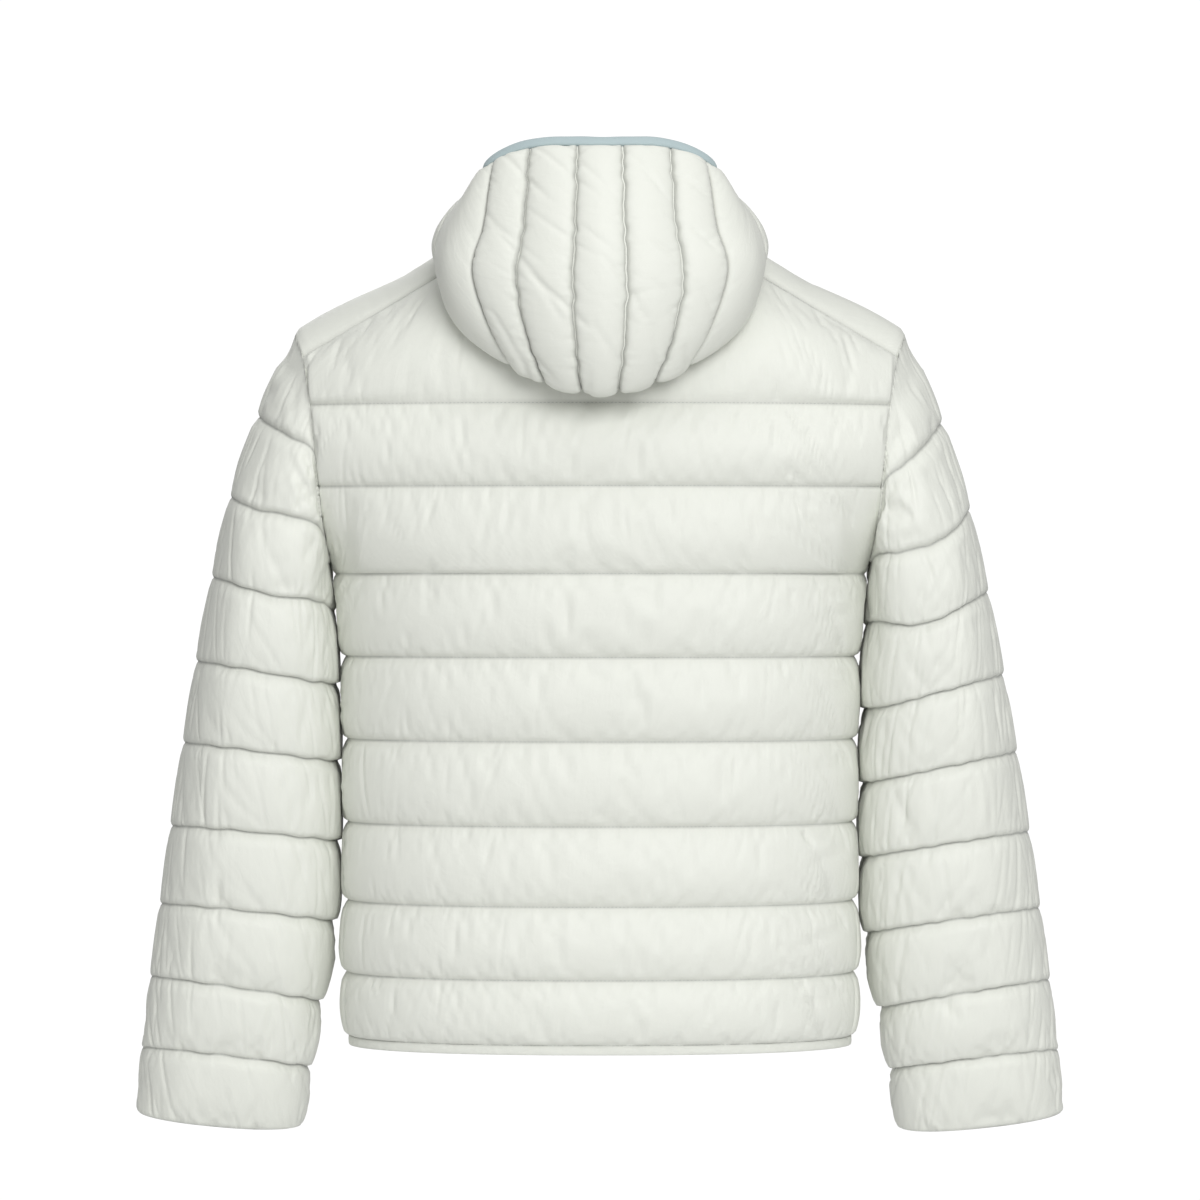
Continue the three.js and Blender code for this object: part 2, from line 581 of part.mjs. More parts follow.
function frontPanel(side) {
  const columns = (levels, raised) => frontPlaces.map((part) => ({
    at: part,
    points: levels.map((level) => {
      const seat = panelSeat(frontSheet, NECK_PART_FRONT, frontNeckPlace, -1, part, level);
      const base = frontSheet(part, level);
      const zipEdge = 1 - (1 - part) ** 16;
      const shoulder = level < 1 ? lerp(SHOULDER_SHARE, 1, level) : 1;
      const rise = seat.rise * bodyPress(base, level) * zipEdge * shoulder;
      const point = base.add(seat.shift).addScaledVector(seat.wall, raised ? rise : -WALL);
      return { level, point: mirrored(point, side) };
    }),
  }));
  const inside = [...TOP_STEPS, ...whole(frontLevels).slice(1)];
  return wallGeometry(columns(frontLevels, true), columns(inside, false), false);
}

// Sleeve sheet: angle 0 outside, a quarter turn behind, half a turn inside
function sleeveRing(angle, level, side) {
  const value = (column) => tableValue(SLEEVE_SECTIONS, 'level', column, level);
  const drop = (column) => (side < 0 ? tableValue(RIGHT_DROPS, 'level', column, level) : 0);
  const outerZ = value('outerZ') - drop('outer');
  const innerZ = value('innerZ') - drop('inner');
  const across = Math.sign(Math.cos(angle)) * Math.abs(Math.cos(angle)) ** SECTION_POWER;
  const behind = Math.sign(Math.sin(angle)) * Math.abs(Math.sin(angle)) ** SECTION_POWER;
  return vector(
    lerp(value('inner'), value('outer'), (1 + across) / 2),
    value('middle') + value('depth') * behind,
    lerp(innerZ, outerZ, (1 + across) / 2) + value('dip') * behind,
  );
}
const capLevel = (angle) => CAP_SLOPE * (1 - Math.cos(angle));

function sleeveSheet(angle, level, side) {
  const start = capLevel(angle);
  const miss = armholePoint(angle).sub(sleeveRing(angle, start, side));
  const part = clamp((level - start) / CAP_REACH, 0, 1);
  return sleeveRing(angle, level, side).addScaledVector(miss, (1 - part) ** 2 * (1 + 2 * part));
}

function armholeAngles() {
  const behind = bodyLevels.filter((level) => level <= UNDERARM_LEVEL).map((level) => (level < 1
    ? lerp(SHOULDER_ANGLE, FIRST_SEAM_ANGLE, level)
    : armholeAngle(levelHeight(level))));
  const before = levelList(1, UNDERARM_LEVEL, BAFFLE_STEPS).slice(0, -1)
    .map((level) => 2 * Math.PI - armholeAngle(levelHeight(level))).reverse();
  const over = TOP_STEPS.slice(1)
    .map((level) => 2 * Math.PI + lerp(SHOULDER_ANGLE, -FIRST_SEAM_ANGLE, level));
  return [...behind, ...before, ...over.reverse()];
}

function sleeve(side) {
  const levels = levelList(0, SLEEVE_END, BAFFLE_STEPS);
  const sheet = (angle, level) => sleeveSheet(angle, level, side);
  const columns = (choice, raised) => armholeAngles().map((angle) => {
    const start = capLevel(angle);
    const own = [start, ...choice.filter((level) => level > start + LEAST_STEP)];
    const points = own.map((level) => {
      const point = sheet(angle, level);
      const middle = sleeveRing(angle + Math.PI, level, side).lerp(sleeveRing(angle, level, side), 0.5);
      const outward = point.clone().sub(middle);
      const normal = sheetNormal(sheet, angle, level, [-Infinity, Infinity], [start, SLEEVE_END], outward);
      if (level === start) {
        normal.copy(armholeWall(angle));
        point.x += HALF_GAP;
      }
      const near = THREE.MathUtils.smoothstep(-Math.cos(angle), ...PRESS_ANGLES);
      const high = 1 - THREE.MathUtils.smoothstep(level, ...PRESS_LEVELS);
      const taut = lerp(1, TAUT_SHARE, THREE.MathUtils.smoothstep(Math.cos(angle), ...TAUT_COSINES));
      const most = lerp(SLEEVE_RISE, PRESSED_RISE, near * high) * taut;
      const rise = most * bandPuff(level) * clamp((level - start) / CAP_RISE_LEVELS, 0, 1);
      return { level, point: mirrored(point.addScaledVector(normal, raised ? rise : -WALL), side) };
    });
    return { at: angle, points };
  });
  return wallGeometry(columns(levels, true), columns(whole(levels), false), true);
}

function channelPuff(place, channels) {
  const size = Math.abs(place);
  const end = channels.findIndex((seam) => size <= seam + 1e-9);
  const low = end === 0 ? -channels[0] : channels[end - 1];
  return puff(clamp((size - low) / (channels[end] - low), 0, 1));
}

function hoodSheet(place, stage) {
  const point = hoodSmooth(place, stage);
  if (stage < 1) point.addScaledVector(neckPoint(place).sub(hoodSmooth(place, 0)), 1 - stage);
  return point;
}

const HOOD_STAGES = [0, 0.35, 0.7, 1, 1.5, 2, 2.4, 2.8, 3.1, 3.4, 3.8, 4.3, 5, 5.6, 6.3, 7, 7.6, RIM_STAGE];

function hoodWallAt(place, stage) {
  if (stage === 0) return neckWall(place);
  const inside = stage < POUCH_STAGE
    ? hoodSmooth(place, stage + POUCH_STAGE)
    : vector(0, POUCH_MIDDLE, hoodSmooth(place, stage).z * POUCH_TILT);
  const outward = hoodSmooth(place, stage).sub(inside);
  return sheetNormal(hoodSheet, place, stage, [0, FRONT_PLACE], [0, RIM_STAGE], outward);
}

function hoodPanel(places, channels, seamShift, side) {
  const columns = (raised) => places.map((place) => {
    const size = Math.abs(place);
    const turn = place < 0 ? -side : side;
    const points = HOOD_STAGES.map((stage) => {
      const wall = hoodWallAt(size, stage);
      const point = hoodSheet(size, stage);
      if (stage === 0) point.addScaledVector(neckCross(size), HALF_GAP);
      if (size === PANEL_SEAM_PLACE) {
        const past = hoodSheet(PANEL_SEAM_PLACE + PLACE_STEP, stage);
        const along = past.sub(hoodSheet(PANEL_SEAM_PLACE - PLACE_STEP, stage)).normalize();
        point.addScaledVector(along, seamShift * HALF_GAP);
      }
      const folded = THREE.MathUtils.smoothstep(stage, ...FOLD_STAGES);
      const rim = 1 - THREE.MathUtils.smoothstep(stage, RIM_FLAT_STAGE, RIM_STAGE);
      const standing = THREE.MathUtils.smoothstep(size, ...STANDING_PLACES) * Math.min(stage, 1);
      const rise = HOOD_RISE * channelPuff(size, channels) * Math.max(folded, standing) * rim;
      return { level: stage, point: mirrored(point.addScaledVector(wall, raised ? rise : -WALL), turn) };
    });
    return { at: place, points };
  });
  return wallGeometry(columns(true), columns(false), false);
}

// A band that caps the rim of the hood from zip to zip
function hoodBinding() {
  const half = SIDE_PLACES.slice(1);
  const right = [...half].reverse().map((place) => -place);
  const middle = [...CENTRE_PLACES.slice(1).reverse().map((place) => -place), ...CENTRE_PLACES];
  const places = [...right, ...middle, ...half];
  const columns = (raised) => places.map((place) => {
    const turn = place < 0 ? -1 : 1;
    const size = Math.abs(place);
    const rim = hoodSmooth(size, RIM_STAGE);
    const up = rim.clone().sub(hoodSmooth(size, RIM_STAGE - PLACE_STEP)).normalize();
    const wall = hoodWallAt(size, RIM_STAGE);
    const points = BINDING_STEPS.map((height) => {
      const swell = BINDING_SWELL * puff(height);
      const point = rim.clone().addScaledVector(up, SEAM_GAP + height * BINDING_HEIGHT);
      point.addScaledVector(wall, raised ? swell : -WALL - swell);
      return { level: height, point: mirrored(point, turn) };
    });
    return { at: place, points };
  });
  return wallGeometry(columns(true), columns(false), false);
}

// Middle line of the zip from the hem to the top of the collar
function zipLine() {
  const body = [...frontLevels].reverse().map((level) => frontSheet(0, level));
  const collar = HOOD_STAGES.slice(1).map((stage) => hoodSheet(FRONT_PLACE, stage));
  return [...body, ...collar].map((point) => vector(0, point.y, point.z));
}

function zipTape(side) {
  const line = zipLine();
  const columns = (offset) => [HALF_GAP, TAPE_WIDTH].map((x) => ({
    at: x,
    points: line.map((point, level) => ({ level, point: vector(side * x, point.y + offset, point.z) })),
  }));
  return wallGeometry(columns(0), columns(TAPE_THICKNESS), false);
}

function solidOf(geometry) {
  geometry.deleteAttribute('normal');
  geometry.deleteAttribute('uv');
  const merged = mergeVertices(geometry, 1e-4);
  return new wasm.Manifold(new wasm.Mesh({
    numProp: 3,
    vertProperties: new Float32Array(merged.attributes.position.array),
    triVerts: new Uint32Array(merged.index.array),
  }));
}

function geometryOf(solid) {
  const mesh = solid.getMesh();
  const geometry = new THREE.BufferGeometry();
  geometry.setAttribute('position', new THREE.BufferAttribute(mesh.vertProperties, 3));
  geometry.setIndex(new THREE.BufferAttribute(mesh.triVerts, 1));
  geometry.computeVertexNormals();
  return geometry;
}

function roundedPlate(width, height, corner) {
  const shape = new THREE.Shape();
  const x = width / 2;
  const y = height / 2;
  shape.moveTo(-x + corner, -y);
  shape.lineTo(x - corner, -y);
  shape.absarc(x - corner, -y + corner, corner, -Math.PI / 2, 0);
  shape.lineTo(x, y - corner);
  shape.absarc(x - corner, y - corner, corner, 0, Math.PI / 2);
  shape.lineTo(-x + corner, y);
  shape.absarc(-x + corner, y - corner, corner, Math.PI / 2, Math.PI);
  shape.lineTo(-x, -y + corner);
  shape.absarc(-x + corner, -y + corner, corner, Math.PI, 1.5 * Math.PI);
  return shape;
}

// The slider's front plate stands before the tapes, and its bail is a round loop on it
function zipSlider() {
  const plate = new THREE.ExtrudeGeometry(roundedPlate(SLIDER_WIDTH, SLIDER_HEIGHT, PLATE_CORNER), {
    depth: SLIDER_THICKNESS, bevelEnabled: false, curveSegments: 4,
  });
  const ring = new THREE.Shape();
  ring.absarc(0, 0, BAIL_RADIUS, 0, 2 * Math.PI);
  const hole = new THREE.Path();
  hole.absarc(0, 0, BAIL_HOLE, 0, 2 * Math.PI);
  ring.holes.push(hole);
  const bail = new THREE.ExtrudeGeometry(ring, { depth: BAIL_WIDTH, bevelEnabled: false, curveSegments: 9 });
  bail.translate(0, 0, -BAIL_WIDTH / 2);
  bail.rotateY(Math.PI / 2);
  bail.translate(0, 0, SLIDER_THICKNESS + BAIL_HOLE);
  return geometryOf(solidOf(plate).add(solidOf(bail)));
}

// The pull's top bar passes through the bail, and the bail passes through the pull's window
function zipPull() {
  const outline = roundedPlate(PULL_WIDTH, PULL_LENGTH, PLATE_CORNER);
  const half = PULL_THICKNESS / 2;
  const top = PULL_LENGTH / 2;
  const windowTop = top - PULL_THICKNESS;
  const windowEnd = windowTop - PULL_WINDOW_LENGTH;
  const window = new THREE.Path();
  window.moveTo(-PULL_WINDOW / 2, windowTop);
  window.lineTo(PULL_WINDOW / 2, windowTop);
  window.lineTo(PULL_WINDOW / 2, windowEnd);
  window.lineTo(-PULL_WINDOW / 2, windowEnd);
  window.closePath();
  outline.holes.push(window);
  const pull = new THREE.ExtrudeGeometry(outline, {
    depth: PULL_THICKNESS, bevelEnabled: false, curveSegments: 4,
  });
  pull.translate(0, half - top, -half);
  return pull;
}

const jacket = new THREE.Group();

function place(name, geometry, material, parent = jacket) {
  const mesh = new THREE.Mesh(geometry, material);
  mesh.name = name;
  parent.add(mesh);
  return mesh;
}

const centrePlaces = [...CENTRE_PLACES.slice(1).reverse().map((part) => -part), ...CENTRE_PLACES];
place('back_panel', backPanel(), shell);
for (const [name, side] of [['left', 1], ['right', -1]]) {
  place(`front_${name}`, frontPanel(side), shell);
  place(`sleeve_${name}`, sleeve(side), shellSleeve);
  place(`hood_side_${name}`, hoodPanel(SIDE_PLACES, SIDE_CHANNELS, 1, side), shell);
  place(`zip_tape_${name}`, zipTape(side), tape);
}
place('hood_centre', hoodPanel(centrePlaces, CENTRE_CHANNELS, -1, 1), shell);
place('hood_binding', hoodBinding(), elastic);

// The slider stands before the foremost point of the tapes that it covers
const tapeFront = Math.min(...zipLine()
  .filter((point) => Math.abs(point.z - SLIDER_Z) < SLIDER_HEIGHT * 1.5)
  .map((point) => point.y));
const fastening = new THREE.Group();
fastening.position.set(0, tapeFront - SEAM_GAP, SLIDER_Z);
fastening.rotation.x = Math.PI / 2;
jacket.add(fastening);
place('zip_slider', zipSlider(), metal, fastening);
const pull = place('zip_pull', zipPull(), metal, fastening);
pull.position.z = SLIDER_THICKNESS + BAIL_HOLE;

export default jacket;
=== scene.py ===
# %% [markdown]
# # A quilted puffer jacket
# A puffer jacket is thin nylon sewn in rows over soft filling. Between two rows the cloth
# swells, and beside each row it puckers, because the thread gathers it.
# We start from the hard model, which gives every panel its place, and dress each panel
# again with a fine skin that can carry those puckers. Sizes here are in millimetres until
# a mesh is made, as a cutter would write them down.

# %% Tools and the hard model
import math
import bpy
import numpy as np
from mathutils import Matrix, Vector


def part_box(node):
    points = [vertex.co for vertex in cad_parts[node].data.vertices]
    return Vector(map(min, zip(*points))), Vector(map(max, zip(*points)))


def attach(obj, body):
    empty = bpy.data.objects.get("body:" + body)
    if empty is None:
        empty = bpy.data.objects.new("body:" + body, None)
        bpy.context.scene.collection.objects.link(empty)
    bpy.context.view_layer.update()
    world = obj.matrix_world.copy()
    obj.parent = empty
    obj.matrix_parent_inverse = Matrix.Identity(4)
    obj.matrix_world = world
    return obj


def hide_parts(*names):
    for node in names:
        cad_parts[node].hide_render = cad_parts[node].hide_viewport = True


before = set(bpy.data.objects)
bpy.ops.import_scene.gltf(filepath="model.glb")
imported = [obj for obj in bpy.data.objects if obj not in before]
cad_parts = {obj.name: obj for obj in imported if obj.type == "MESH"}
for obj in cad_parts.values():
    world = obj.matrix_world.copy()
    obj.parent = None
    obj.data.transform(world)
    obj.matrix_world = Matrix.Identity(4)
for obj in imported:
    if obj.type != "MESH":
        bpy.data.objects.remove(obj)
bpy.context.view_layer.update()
MM = 0.001
print("panels of the hard model:", sorted(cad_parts))

# %% [markdown]
# ## Sizes of the garment
# The skins have to lie where the hard panels lie, so the same section tables are used.
# Each table has named columns, and a smooth curve runs through its rows. Between two
# rows a cubic with matching slopes is enough: it never kinks and needs no extra numbers.


# %% Smooth curves through a table
def table(names, rows):
    return dict(zip(names.split(), np.array(rows, float).T))


def along_curve(start, end, slope_in, slope_out, part):
    square, cube = part**2, part**3
    return (start * (2 * cube - 3 * square + 1) + slope_in * (cube - 2 * square + part)
            + end * (3 * square - 2 * cube) + slope_out * (cube - square))


def look_up(rows, key, column, place):
    keys, values = rows[key], rows[column]
    slopes = np.empty(len(keys))
    slopes[1:-1] = (values[2:] - values[:-2]) / (keys[2:] - keys[:-2])
    slopes[0] = (values[1] - values[0]) / (keys[1] - keys[0])
    slopes[-1] = (values[-1] - values[-2]) / (keys[-1] - keys[-2])
    row = np.searchsorted(keys[1:-1], place)
    span = keys[row + 1] - keys[row]
    part = np.clip((place - keys[row]) / span, 0, 1)
    return along_curve(values[row], values[row + 1], slopes[row] * span, slopes[row + 1] * span, part)


def point(x, y, z):
    return np.stack(np.broadcast_arrays(x, y, z), -1).astype(float)


def lerp(start, end, part):
    return start + (end - start) * part


def ease(value, low, high):
    part = np.clip((value - low) / (high - low), 0, 1)
    return part * part * (3 - 2 * part)


def unit(vectors):
    return vectors / np.maximum(np.linalg.norm(vectors, axis=-1, keepdims=True), 1e-9)


# %% Body sections
WALL = 2
SECTION_POWER = 0.87
SEAM_HEIGHTS = np.array([-130, -199.5, -273, -343, -413.5, -484.5, -551.5, -613, -676])
FIRST_SEAM, HEM = SEAM_HEIGHTS[0], SEAM_HEIGHTS[-1]
HEM_LEVEL = len(SEAM_HEIGHTS)
UNDERARM_LEVEL = 3
BODY = table("z edge back front", [
    (-676, 211, 112, 106), (-613, 215, 119, 114), (-551, 215, 119, 115), (-484, 216, 119, 115),
    (-413, 217, 121, 117), (-343, 219, 123, 119), (-273, 228, 125, 121), (-235, 234, 125, 121),
    (-170, 240, 123, 118), (-130, 245, 118, 112), (-88, 253, 110, 104), (-67, 262, 100, 96),
])
ARMHOLE_MIDDLE, ARMHOLE_HALF_HEIGHT, ARMHOLE_HALF_DEPTH, ARMHOLE_SHIFT = -170, 103, 78, 4
UNDERARM = ARMHOLE_MIDDLE - ARMHOLE_HALF_HEIGHT
UNDERARM_POINT = 1.5
HEM_SEAM_DEPTH = 30
SHOULDER_SEAM_END = -88
print("torso width at the underarm:", 2 * look_up(BODY, "z", "edge", UNDERARM))

# %% Sleeve sections
SLEEVE_END = 10
SLEEVE = table("level outer inner outer_z inner_z depth middle dip", [
    (0, 278, 236, -70, -130, 62, 4, 0), (1, 299.5, 233, -138, -190, 74, 4, -6),
    (2, 317, 231, -207, -246, 80, 4, -6), (3, 332.5, 230, -275, -303, 81, 3, -8),
    (4, 346, 227.5, -347, -367, 79, 1, -8), (5, 357.5, 226.5, -417, -433, 76, -2, -7),
    (6, 368.5, 226.5, -489, -502, 72, -5, -5), (7, 378, 231, -556, -571, 67, -8, -4),
    (8, 387, 243, -619, -640, 60, -12, -3), (9, 395, 253, -681, -697, 50, -16, -2),
    (10, 400, 261, -735, -748, 38, -20, -5),
])
RIGHT_DROPS = table("level outer inner", [(0, 4, 10), (3, 13, 24), (6, 5, 14), (9, 2, 2), (10, 0, 2)])
CAP_REACH, CAP_SLOPE = 1.8, 1.25

# %% Hood sections, from the neckline to the rim
HOOD = np.array([
    [(0, 96, -38), (92, 69, -16), (117, 40, -0.7), (126, 4, 6)],
    [(0, 122, -60), (95, 96, -40), (118, 50, 8), (127, 9, 18)],
    [(0, 138, -98), (84, 120, -78), (122, 74, -2), (131, 20, 22)],
    [(0, 156, -123), (73, 138, -100), (124, 102, -50), (134, 32, 20)],
    [(0, 175, -95), (92, 150, -68), (130, 114, -36), (136, 46, 16)],
    [(0, 182, -40), (106, 152, -22), (134, 113, -11), (136.5, 58, 13)],
    [(0, 176, 15), (97, 147, 14), (127, 109, 18), (131, 64, 22)],
    [(0, 160, 58), (92, 136, 50), (112, 104, 42), (117, 62, 38)],
    [(0, 144, 82), (88, 124, 69), (97, 92, 58), (98, 50, 47)],
], float)
RIM_STAGE = len(HOOD) - 1
NECK_FRONT_QUARTER, RIM_FRONT_QUARTER = np.array((90, -64, -41.0)), np.array((66, -54, 26.0))
NECK_FRONT, RIM_FRONT = np.array((0, -88, -85.0)), np.array((0, -84, 14.0))
FRONT_ROUND = 6
RIM_LIFT = 5.5
FRONT_EDGE = 6.5
FRONT_PLACE = 5
SHOULDER_PLACE = 1.7
NECK_NODES = np.array([0, 0.2, 0.6, 1, 1.35, 1.7, 2.1, 2.5, 3, 3.5, 4, 4.5, 5])
BACK_NECK_STEPS, SHOULDER_PARTS = 5, 5
FRONT_NECK_STEPS = len(NECK_NODES) - 1 - BACK_NECK_STEPS
NECK_PART_BACK = BACK_NECK_STEPS / (BACK_NECK_STEPS + SHOULDER_PARTS)
NECK_PART_FRONT = FRONT_NECK_STEPS / (FRONT_NECK_STEPS + SHOULDER_PARTS)

# %% [markdown]
# ## The panels as sheets
# Every panel is a function of two numbers: how far along its quilting seams a point lies,
# and its level, which is 1 at the first seam, 2 at the next, and so on. A sheet given this
# way can be cut as coarse or as fine as a step needs, and neighbours meet on one curve.


# %% Armhole and body rows
def armhole_point(angle):
    cosine, sine = np.cos(angle), np.sin(angle)
    z = ARMHOLE_MIDDLE + ARMHOLE_HALF_HEIGHT * cosine
    reach = np.where(cosine < 0, np.sign(sine) * np.abs(sine) ** UNDERARM_POINT, sine)
    y = ARMHOLE_SHIFT * (1 - cosine) + ARMHOLE_HALF_DEPTH * reach
    return point(look_up(BODY, "z", "edge", z), y, z)


def armhole_angle(z):
    return np.arccos(np.clip((z - ARMHOLE_MIDDLE) / ARMHOLE_HALF_HEIGHT, -1, 1))


SHOULDER_ANGLE, FIRST_SEAM_ANGLE = armhole_angle(SHOULDER_SEAM_END), armhole_angle(FIRST_SEAM)


def level_height(level):
    return np.interp(level, np.arange(1, HEM_LEVEL + 1), SEAM_HEIGHTS)


def rounded(value):
    return np.abs(value) ** SECTION_POWER


def section_angle(depth, most):
    return np.arccos(np.clip(depth / most, 0, 1) ** (1 / SECTION_POWER))


def edge_depth(z, side):
    seam = lerp(2 * ARMHOLE_SHIFT, HEM_SEAM_DEPTH, (UNDERARM - z) / (UNDERARM - HEM))
    return np.where(z > UNDERARM, armhole_point(side * armhole_angle(z))[..., 1], seam)


def back_row(part, z):
    depth = look_up(BODY, "z", "back", z)
    most = section_angle(edge_depth(z, 1), depth)
    half = look_up(BODY, "z", "edge", z) / rounded(np.sin(most))
    return point(half * rounded(np.sin(most * part)), depth * rounded(np.cos(most * part)), z)


def front_row(part, z):
    depth, behind = look_up(BODY, "z", "front", z), look_up(BODY, "z", "back", z)
    seam = edge_depth(z, -1)
    most = np.where(seam < 0, section_angle(-seam, depth), math.pi - section_angle(seam, behind))
    half = look_up(BODY, "z", "edge", z) / rounded(np.sin(most))
    angle = most * part
    y = np.where(angle < math.pi / 2, -depth, behind) * rounded(np.cos(angle))
    return point(half * rounded(np.sin(angle)), y, z)


# %% Hood sheet, a net of curves both ways
def hood_net():
    part = np.linspace(0, 1, RIM_STAGE + 1)[:, None]
    swell = FRONT_ROUND * np.sin(math.pi * part)
    quarter = lerp(NECK_FRONT_QUARTER, RIM_FRONT_QUARTER, part) + swell * np.array((1, -1, 0))
    front = lerp(NECK_FRONT, RIM_FRONT, part) + swell * np.array((0, -0.5, 0))
    mirror = np.array((-1, 1, 1))
    columns = [HOOD[:, 1] * mirror, *HOOD.transpose(1, 0, 2), quarter, front, quarter * mirror]
    net = np.stack(columns, 1)
    net = np.concatenate([2 * net[:, :1] - net[:, 1:2], net, 2 * net[:, -1:] - net[:, -2:-1]], 1)
    return np.concatenate([2 * net[:1] - net[1:2], net, 2 * net[-1:] - net[-2:-1]], 0)


HOOD_NET = hood_net()


def curve_weights(place, last):
    index = np.clip(np.floor(place), 0, last).astype(int)
    t = place - index
    rise, fall = (t**3 - 2 * t**2 + t) / 2, (t**3 - t**2) / 2
    base = 2 * t**3 - 3 * t**2 + 1
    return index, [-rise, base - fall, 1 - base + rise, fall]


def hood_sheet(place, stage):
    place, stage = np.broadcast_arrays(np.asarray(place, float), np.asarray(stage, float))
    column, across = curve_weights(np.abs(place) + 1, HOOD_NET.shape[1] - 4)
    row, up = curve_weights(stage, RIM_STAGE - 1)
    found = sum((u * a)[..., None] * HOOD_NET[row + i, column + j]
                for i, u in enumerate(up) for j, a in enumerate(across))
    found[..., 0] += FRONT_EDGE * np.clip(np.abs(place) - (FRONT_PLACE - 1), 0, 1) ** 4
    beside = np.minimum(np.abs(place) / 1.25, 1)
    found[..., 2] += RIM_LIFT * np.sin(math.pi * beside) ** 2 * ease(stage, 6.5, 8)
    found[..., 0] *= np.where(place < 0, -1, 1)
    return found


# %% Yoke curves, from the first seam to the neck and shoulder seams
def bezier(start, start_pull, end_pull, end, part):
    part = np.asarray(part)[..., None]
    rest = 1 - part
    return (start * rest**3 + start_pull * 3 * rest**2 * part
            + end_pull * 3 * rest * part**2 + end * part**3)


def neck_place(part, neck_part, back):
    if back:
        return np.interp(part / neck_part * BACK_NECK_STEPS, np.arange(len(NECK_NODES)), NECK_NODES)
    index = len(NECK_NODES) - 1 - part / neck_part * FRONT_NECK_STEPS
    return np.interp(index, np.arange(len(NECK_NODES)), NECK_NODES)


def top_edge(part, neck_part, back):
    place = neck_place(np.minimum(part, neck_part), neck_part, back)
    neck = hood_sheet(place, 0)
    if not back:
        neck[..., 0] -= FRONT_EDGE * np.clip(place - (FRONT_PLACE - 1), 0, 1) ** 4
    outward = np.clip((part - neck_part) / (1 - neck_part), 0, 1)[..., None]
    shoulder = lerp(hood_sheet(SHOULDER_PLACE, 0), armhole_point(SHOULDER_ANGLE), outward)
    return np.where((part <= neck_part)[..., None], neck, shoulder)


BACK_PULL = 0.36
BACK_TRAVEL = np.array([(0, -0.35, 0.94), (0, -0.75, 0.66)])


def back_top(part, level):
    start, end = back_row(part, FIRST_SEAM), top_edge(part, NECK_PART_BACK, True)
    lean = np.clip(part / NECK_PART_BACK, 0, 1)[..., None]
    travel = unit(lerp(BACK_TRAVEL[0], BACK_TRAVEL[1], lean))
    reach = np.linalg.norm(end - start, axis=-1, keepdims=True) * BACK_PULL

    def curve(first, last):
        return bezier(first, first + reach * np.array((0, 0, 1)), last - travel * reach, last, 1 - level)

    edge = curve(back_row(1.0, FIRST_SEAM), armhole_point(SHOULDER_ANGLE))
    miss = armhole_point(lerp(SHOULDER_ANGLE, FIRST_SEAM_ANGLE, level)) - edge
    return curve(start, end) + miss * ease(part, 0.7, 1)[..., None]


def front_top(part, level):
    turn = np.clip(part / NECK_PART_FRONT, 0, 1)
    outward = np.clip((part - NECK_PART_FRONT) / (1 - NECK_PART_FRONT), 0, 1)
    angle = np.radians(lerp(84, -41, turn**2.2))
    travel = point(0, np.cos(angle), np.sin(angle))
    pull = (lerp(14, 48, turn) + 27 * outward)[..., None]
    rise = lerp(0.36, 0.8, turn**1.5) + 0.3 * outward
    swing = point(26 * turn**4 * (1 - outward) ** 3, 0, 0)

    def curve(first, last):
        lift = point(0, 0, rise * (last[..., 2] - first[..., 2]) + 12 * outward)
        return bezier(first, first + lift, last - travel * pull + swing, last, 1 - level)

    edge = curve(front_row(1.0, FIRST_SEAM), armhole_point(SHOULDER_ANGLE))
    miss = armhole_point(lerp(SHOULDER_ANGLE, -FIRST_SEAM_ANGLE, level)) - edge
    body = curve(front_row(part, FIRST_SEAM), top_edge(part, NECK_PART_FRONT, False))
    return body + miss * ease(part, 0.7, 1)[..., None]


# %% Sheets of the back, the fronts and the sleeves
def back_sheet(part, level):
    part, level = np.broadcast_arrays(np.asarray(part, float), np.asarray(level, float))
    size = np.abs(part)
    low = back_row(size, level_height(np.maximum(level, 1)))
    found = np.where((level >= 1)[..., None], low, back_top(size, np.clip(level, 0, 1)))
    found[..., 0] *= np.where(part < 0, -1, 1)
    return found


def front_sheet(part, level):
    part, level = np.broadcast_arrays(np.asarray(part, float), np.asarray(level, float))
    low = front_row(part, level_height(np.maximum(level, 1)))
    found = np.where((level >= 1)[..., None], low, front_top(part, np.clip(level, 0, 1)))
    found[..., 0] += FRONT_EDGE * (1 - part) ** 4
    return found


def cap_level(angle):
    return CAP_SLOPE * (1 - np.cos(angle))


def sleeve_ring(angle, level, side):
    values = {name: look_up(SLEEVE, "level", name, level) for name in SLEEVE if name != "level"}
    for name in ("outer", "inner"):
        if side < 0:
            values[name + "_z"] = values[name + "_z"] - look_up(RIGHT_DROPS, "level", name, level)
    across = np.sign(np.cos(angle)) * rounded(np.cos(angle))
    behind = np.sign(np.sin(angle)) * rounded(np.sin(angle))
    outside = (1 + across) / 2
    return point(lerp(values["inner"], values["outer"], outside), values["middle"] + values["depth"] * behind,
                 lerp(values["inner_z"], values["outer_z"], outside) + values["dip"] * behind)


def sleeve_sheet(angle, level, side):
    start = cap_level(angle)
    level = np.maximum(level, start)
    miss = armhole_point(angle) - sleeve_ring(angle, start, side)
    part = np.clip((level - start) / CAP_REACH, 0, 1)[..., None]
    return sleeve_ring(angle, level, side) + miss * (1 - part) ** 2 * (1 + 2 * part)

# %% [markdown]
# ## Swelling the cloth between its seams
# A real baffle is round because the filling pushes while the thread holds. Blender's Cloth
# can play that out: the seam rows are pinned, the cloth is cut a few per cent too large,
# and pressure pushes it out. The wrinkles that come are the ones that real cloth makes.
# The simulation runs on a coarse grid, and what it moved is then added to a fine one.
# Modelling each baffle by hand would look regular, and a bump map would not show in outline.


